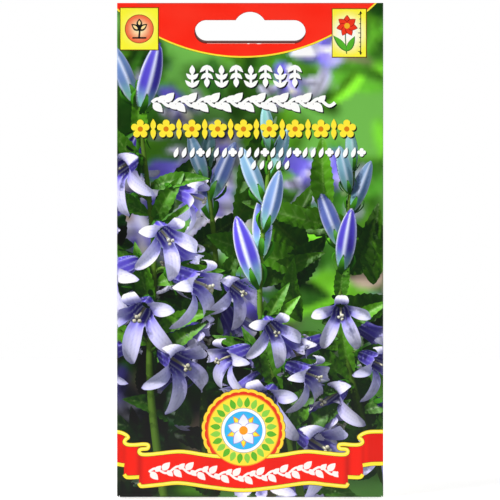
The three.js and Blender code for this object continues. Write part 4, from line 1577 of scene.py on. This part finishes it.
def envelope():
    """The packet's one sheet, folded: its printed face, its plain face and its cut edges."""
    garden, hedge, art = plant_garden(), plant_hedge(), Artwork()
    flap_print(art)
    back_print(art)
    front_print(art)
    places, triangles, shape = printed_face(garden, art)
    colours = sheet_colours(garden, hedge, art, places, triangles, shape)
    rim = rim_edges(triangles)
    inner_places, inner_triangles, meets = plain_face(places, rim)
    inner = len(places)
    edge_faces = [(b, a, inner + meets[int(a)], inner + meets[int(b)]) for a, b in rim]
    inner_faces = inner_triangles[:, ::-1] + inner
    corners = np.concatenate([triangles.ravel(), inner_faces.ravel(), np.ravel(edge_faces)])
    used, corners = np.unique(corners, return_inverse=True)
    flat = np.concatenate([places, inner_places])[used]
    points = np.concatenate([fold(places), fold(inner_places, -1)])[used] * MM
    threes = 3 * (len(triangles) + len(inner_triangles))
    faces = [*corners[:threes].reshape(-1, 3).tolist(), *corners[threes:].reshape(-1, 4).tolist()]

    mesh = bpy.data.meshes.new("printed_envelope")
    mesh.from_pydata(points.tolist(), [], faces)
    lay_corner_colours(mesh, flat[corners], colours)
    lay_flat_map(mesh, flat[corners], 3 * len(triangles))
    mesh.materials.append(coated_printed_paper())
    mesh.materials.append(uncoated_paper())
    plain = np.arange(len(mesh.polygons)) >= len(triangles)
    mesh.polygons.foreach_set("material_index", plain.astype(np.int32))
    return linked("printed_envelope", mesh)


# The inner sachet, from the packet's foot, and the strips of glue
SACHET_WIDTH, SACHET_HEIGHT, SACHET_RIM = 46, 62, 5
Z_SACHET = Z_FOOT + 5
SACHET_SWELL, SACHET_SHOULDER, SACHET_NECK = 0.3, 6, 24
FILM, FILM_LEVEL = 0.12, 0.08
GLUE = 0.08
GLUE_INSET = 1.3
SEAM_INSET = 4


def seam_level(x, z):
    """Half way between the back panel and the side flap."""
    return (Y_BACK + Y_SIDE_FLAP) / 2 + BACK_SWELL * swell(x, z)


def foot_glue_level(x, z):
    """Half way between the bottom flap and what it is glued to."""
    return bottom_flap_level(x) - LAYER / 2 + BACK_SWELL * swell(x, z)


def contents_level(x, z):
    """Half way between the front and the back panel."""
    return (BACK_SWELL - FRONT_SWELL) / 2 * swell(x, z)


def pouch(x, z):
    """The share of the sachet's own swell: none on its sealed rims."""
    from_side = SACHET_WIDTH / 2 - SACHET_RIM - np.abs(x)
    from_foot = z - Z_SACHET - SACHET_RIM
    from_head = SACHET_HEIGHT - 2 * SACHET_RIM - from_foot
    swelling = smooth(from_side / SACHET_SHOULDER) * smooth(from_foot / SACHET_SHOULDER)
    return swelling * smooth(from_head / SACHET_NECK)


CRIMP_HEIGHT, CRIMP_PITCH, CRIMP_MARGIN = 0.015, 1.2, 0.6


def crimp(z):
    """The ridges that the heat seal presses across the sachet's foot and head."""
    from_end = np.minimum(z - Z_SACHET, Z_SACHET + SACHET_HEIGHT - z)
    return CRIMP_HEIGHT * np.sin(2 * PI * z / CRIMP_PITCH) * (from_end < SACHET_RIM - CRIMP_MARGIN)


def thin_sheet(name, outlines, level, thickness, step):
    """A flat sheet's mesh, from its outline, its holes and its level between the packet's layers."""
    (left, foot), (right, head) = outlines[0].min(0), outlines[0].max(0)
    grid = grid_places(left + step / 2, foot + step / 2, right - step / 4, head - step / 4, step)
    found, triangles, _ = triangulated(outlines, len(outlines) - 1, [], grid)
    used, triangles = np.unique(triangles, return_inverse=True)
    found, triangles = found[used], triangles.reshape(-1, 3)
    x, z = found.T
    y = level(x, z) + sway(x, z)
    points = np.concatenate([np.stack([x, y + side * thickness / 2, z], 1) for side in (-1, 1)])
    back = len(found)
    edge_faces = [(b, a, a + back, b + back) for a, b in rim_edges(triangles)]
    faces = [*triangles.tolist(), *(triangles[:, ::-1] + back).tolist(), *edge_faces]
    mesh = bpy.data.meshes.new(name)
    mesh.from_pydata((points * MM).tolist(), [], faces)
    return mesh


def finished_piece(mesh, material, node):
    """A mesh's object, in its material, that rides the body and takes a node's place."""
    mesh.materials.append(material)
    piece = linked(mesh.name, mesh)
    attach(piece, "root")
    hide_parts(node)
    return piece


def dried_adhesive():
    """Dispersion glue dried to a satin ivory layer, streaked where it lies thicker."""
    material, tree = new_material("dried_adhesive")
    place = add_node(tree, "ShaderNodeTexCoord")
    streaks = add_node(
        tree, "ShaderNodeTexNoise", {"Vector": place.outputs["Object"]},
        in_Scale=1 / (GLUE_STREAK * MM), in_Detail=3.0,
    )
    tone = add_node(tree, "ShaderNodeValToRGB", {"Fac": streaks.outputs["Fac"]})
    tone.color_ramp.elements[0].color = (*ink("#e2dac0"), 1)
    tone.color_ramp.elements[1].color = (*ink("#f6f1de"), 1)
    shader = add_node(
        tree, "ShaderNodeBsdfPrincipled", {"Base Color": tone.outputs["Color"]}, in_Roughness=0.5,
    )
    add_node(tree, "ShaderNodeOutputMaterial", {"Surface": shader.outputs["BSDF"]})
    return material


def clear_film():
    """Clear polypropylene film: glossy and see-through, with a fine wrinkle."""
    material, tree = new_material("clear_polypropylene_film")
    place = add_node(tree, "ShaderNodeTexCoord")
    wrinkle = add_node(
        tree, "ShaderNodeTexNoise", {"Vector": place.outputs["Object"]},
        in_Scale=1 / (FILM_WRINKLE * MM), in_Detail=2.0,
    )
    bump = add_node(
        tree, "ShaderNodeBump", {"Height": wrinkle.outputs["Fac"]},
        in_Strength=0.15, in_Distance=0.5 * MM,
    )
    shader = add_node(
        tree, "ShaderNodeBsdfPrincipled", {"Normal": bump.outputs["Normal"]},
        in_Base_Color=(*ink("#eef4f6"), 1), in_Roughness=0.12, in_Transmission_Weight=0.9, in_IOR=1.49,
    )
    add_node(tree, "ShaderNodeOutputMaterial", {"Surface": shader.outputs["BSDF"]})
    return material


def seed_coat():
    """Dry matt seed coats, each its own shade of brown, finely pitted."""
    material, tree = new_material("seed_coat")
    place = add_node(tree, "ShaderNodeTexCoord")
    shade = add_node(tree, "ShaderNodeAttribute", attribute_name="Shade")
    pits = add_node(
        tree, "ShaderNodeTexNoise", {"Vector": place.outputs["Object"]},
        in_Scale=1 / (SEED_PIT * MM), in_Detail=2.0,
    )
    bump = add_node(
        tree, "ShaderNodeBump", {"Height": pits.outputs["Fac"]},
        in_Strength=0.3, in_Distance=0.1 * MM,
    )
    tone = add_node(tree, "ShaderNodeValToRGB", {"Fac": shade.outputs["Fac"]})
    tone.color_ramp.elements[0].color = (*ink("#4a2e18"), 1)
    tone.color_ramp.elements[1].color = (*ink("#9a6a3c"), 1)
    shader = add_node(
        tree, "ShaderNodeBsdfPrincipled",
        {"Base Color": tone.outputs["Color"], "Normal": bump.outputs["Normal"]}, in_Roughness=0.75,
    )
    add_node(tree, "ShaderNodeOutputMaterial", {"Surface": shader.outputs["BSDF"]})
    return material


SEEDS = 420
SEED_RADIUS = 0.24
SEED_LENGTH = 1.35
SEED_JITTER = 0.15
HEAP_WIDTH, HEAP_HEIGHT = 30, 18


def seed_heap():
    """Fine seed that has slid to the foot of its sachet, one grain deep."""
    rng = np.random.default_rng(5)
    middle = Z_SACHET + SACHET_RIM + HEAP_HEIGHT / 2
    spread = sunflower_spread(SEEDS, 1.0) * (HEAP_WIDTH / 2 - 0.5, HEAP_HEIGHT / 2 - 0.5)
    heap = bmesh.new()
    shades = []
    for x, z in spread + (0, middle):
        x, z = x + rng.uniform(-SEED_JITTER, SEED_JITTER), z + rng.uniform(-SEED_JITTER, SEED_JITTER)
        room = SACHET_SWELL * pouch(x, z) + FILM_LEVEL - FILM / 2
        radius = min(SEED_RADIUS * rng.uniform(0.8, 1.1), 0.9 * room)
        place = Matrix.Translation(Vector((x, contents_level(x, z) + sway(x, z), z)) * MM)
        turn = Matrix.Rotation(rng.uniform(0, PI), 4, "Y")
        grain = Matrix.Diagonal((SEED_LENGTH * radius * MM, radius * MM, radius * MM, 1))
        bmesh.ops.create_icosphere(heap, subdivisions=1, radius=1, matrix=place @ turn @ grain)
        shades.extend([rng.uniform()] * (len(heap.verts) - len(shades)))
    mesh = bpy.data.meshes.new("seed_grains")
    heap.to_mesh(mesh)
    heap.free()
    shade = mesh.attributes.new("Shade", "FLOAT", "POINT")
    shade.data.foreach_set("value", np.array(shades, np.float32))
    mesh.polygons.foreach_set("use_smooth", np.ones(len(mesh.polygons), bool))
    return finished_piece(mesh, seed_coat(), "seeds")


def glue_strips():
    """The three dried strips that hold the seam, the bottom flap and the header."""
    glue = dried_adhesive()
    left = X_LEFT + GLUE_INSET
    seam = block(left, Z_FOOT + SEAM_INSET, X_FLAP_EDGE - GLUE_INSET, Z_TOP - SEAM_INSET)
    foot = block(X_LEFT + SEAM_INSET, Z_FOOT + SEAM_INSET, X_RIGHT - SEAM_INSET,
                 Z_FOOT + BOTTOM_FLAP - GLUE_INSET)
    seal = block(left, Z_SEAL + 0.6, X_RIGHT - GLUE_INSET, Z_TOP - 0.6)
    seam_glue = thin_sheet("seam_glue", [seam], seam_level, GLUE, 2.5)
    finished_piece(seam_glue, glue, "glue_side_seam")
    foot_glue = thin_sheet("foot_glue", [foot], foot_glue_level, GLUE, 1.1)
    finished_piece(foot_glue, glue, "glue_bottom_flap")
    header_glue = thin_sheet("header_glue", [seal, slot_outline(1.0)], straight(0), GLUE, 1.5)
    finished_piece(header_glue, glue, "glue_top_seal")


def sachet():
    """The inner sachet: two films, parted by the seed between their crimped ends."""
    film = clear_film()
    outline = block(-SACHET_WIDTH / 2, Z_SACHET, SACHET_WIDTH / 2, Z_SACHET + SACHET_HEIGHT)
    for side, name, node in ((-1, "front_film", "sachet_front_film"), (1, "back_film", "sachet_back_film")):
        def level(x, z):
            return contents_level(x, z) + side * (FILM_LEVEL + SACHET_SWELL * pouch(x, z)) + crimp(z)
        finished_piece(thin_sheet(name, [outline], level, FILM, 1.0), film, node)


# Studio: the picture's side, and where the packet stands in it, are in pixels

PICTURE_SIDE = 500
PACKET_ACROSS = 266.2
TOP_TO_MIDDLE = 247
MIDDLE_TO_RIGHT = -0.15
PIXEL = WIDTH * MM / PACKET_ACROSS
CENTRE_Z = Z_TOP * MM - TOP_TO_MIDDLE * PIXEL
LENS, SENSOR = 200, 36

# Each lamp's place, size and power
LAMPS = {
    "key": ((-0.9, -0.8, 0.8), 0.6, 13),
    "fill": ((1.0, -0.7, 0.3), 0.7, 6),
    "back_left": ((-0.9, 0.9, 0.6), 0.8, 5),
    "back_right": ((0.9, 1.0, 0.6), 0.8, 4),
}
FLOOR_SIDE = 0.7
FLOOR_BACK = 0.35
FLOOR_GAP = 0.2


def photo_camera():
    """A long lens straight in front of the packet, which it takes almost without perspective."""
    camera = bpy.data.cameras.new("camera")
    camera.lens = LENS
    camera.sensor_width = SENSOR
    view = linked("camera", camera)
    view.location = (MIDDLE_TO_RIGHT * PIXEL, -PICTURE_SIDE * PIXEL * LENS / SENSOR, CENTRE_Z)
    view.rotation_euler = (PI / 2, 0, 0)
    bpy.context.scene.camera = view


def white_room():
    """A white background that lights the packet softly, and least from straight in front."""
    world = bpy.data.worlds.new("studio")
    bpy.context.scene.world = world
    world.use_nodes = True
    tree = world.node_tree
    tree.nodes.clear()
    white = (*ink("#ffffff"), 1)
    path = add_node(tree, "ShaderNodeLightPath")
    place = add_node(tree, "ShaderNodeTexCoord")
    ahead = add_node(tree, "ShaderNodeSeparateXYZ", {"Vector": place.outputs["Generated"]})
    dark_front = add_node(
        tree, "ShaderNodeMapRange", {"Value": ahead.outputs["Y"]}, interpolation_type="SMOOTHSTEP",
        in_From_Min=-0.85, in_From_Max=-0.35, in_To_Min=0.0, in_To_Max=0.42,
    )
    seen = add_node(tree, "ShaderNodeBackground", in_Color=white, in_Strength=1.0)
    lit = add_node(
        tree, "ShaderNodeBackground", {"Strength": dark_front.outputs["Result"]}, in_Color=white,
    )
    either = add_node(
        tree, "ShaderNodeMixShader",
        {0: path.outputs["Is Camera Ray"], 1: lit.outputs["Background"], 2: seen.outputs["Background"]},
    )
    add_node(tree, "ShaderNodeOutputWorld", {"Surface": either.outputs["Shader"]})


def lamps():
    """Large soft lamps, all turned to the packet: two in front and two behind."""
    for name, (location, size, power) in LAMPS.items():
        light = bpy.data.lights.new(name, "AREA")
        light.energy = power
        light.size = size
        lamp = linked(name, light)
        lamp.location = location
        aim = Vector((0, 0, CENTRE_Z)) - Vector(location)
        lamp.rotation_euler = aim.to_track_quat("-Z", "Y").to_euler()


def pale_floor():
    """A plain pale floor just under the packet, which glows a little so that no shade greys it."""
    mesh = bpy.data.meshes.new("floor")
    grid = bmesh.new()
    level = Matrix.Translation((0, FLOOR_BACK, (Z_FOOT - FLOOR_GAP) * MM))
    bmesh.ops.create_grid(grid, x_segments=4, y_segments=4, size=FLOOR_SIDE, matrix=level)
    grid.to_mesh(mesh)
    grid.free()
    material, tree = new_material("studio_floor")
    shader = add_node(
        tree, "ShaderNodeBsdfPrincipled", in_Base_Color=(*ink("#f3f3f3"), 1), in_Roughness=0.9,
        in_Emission_Color=(*ink("#ffffff"), 1), in_Emission_Strength=0.35,
    )
    add_node(tree, "ShaderNodeOutputMaterial", {"Surface": shader.outputs["BSDF"]})
    mesh.materials.append(material)
    linked("floor", mesh)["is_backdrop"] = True


bpy.context.scene.view_settings.view_transform = "Standard"
photo_camera()
white_room()
lamps()
pale_floor()


sheet = envelope()
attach(sheet, "root")
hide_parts("envelope")
glue_strips()
sachet()
seed_heap()

boxes = {"cad": cad_box, "visual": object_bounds()}
{name: [list(corner) for corner in box] for name, box in boxes.items()}
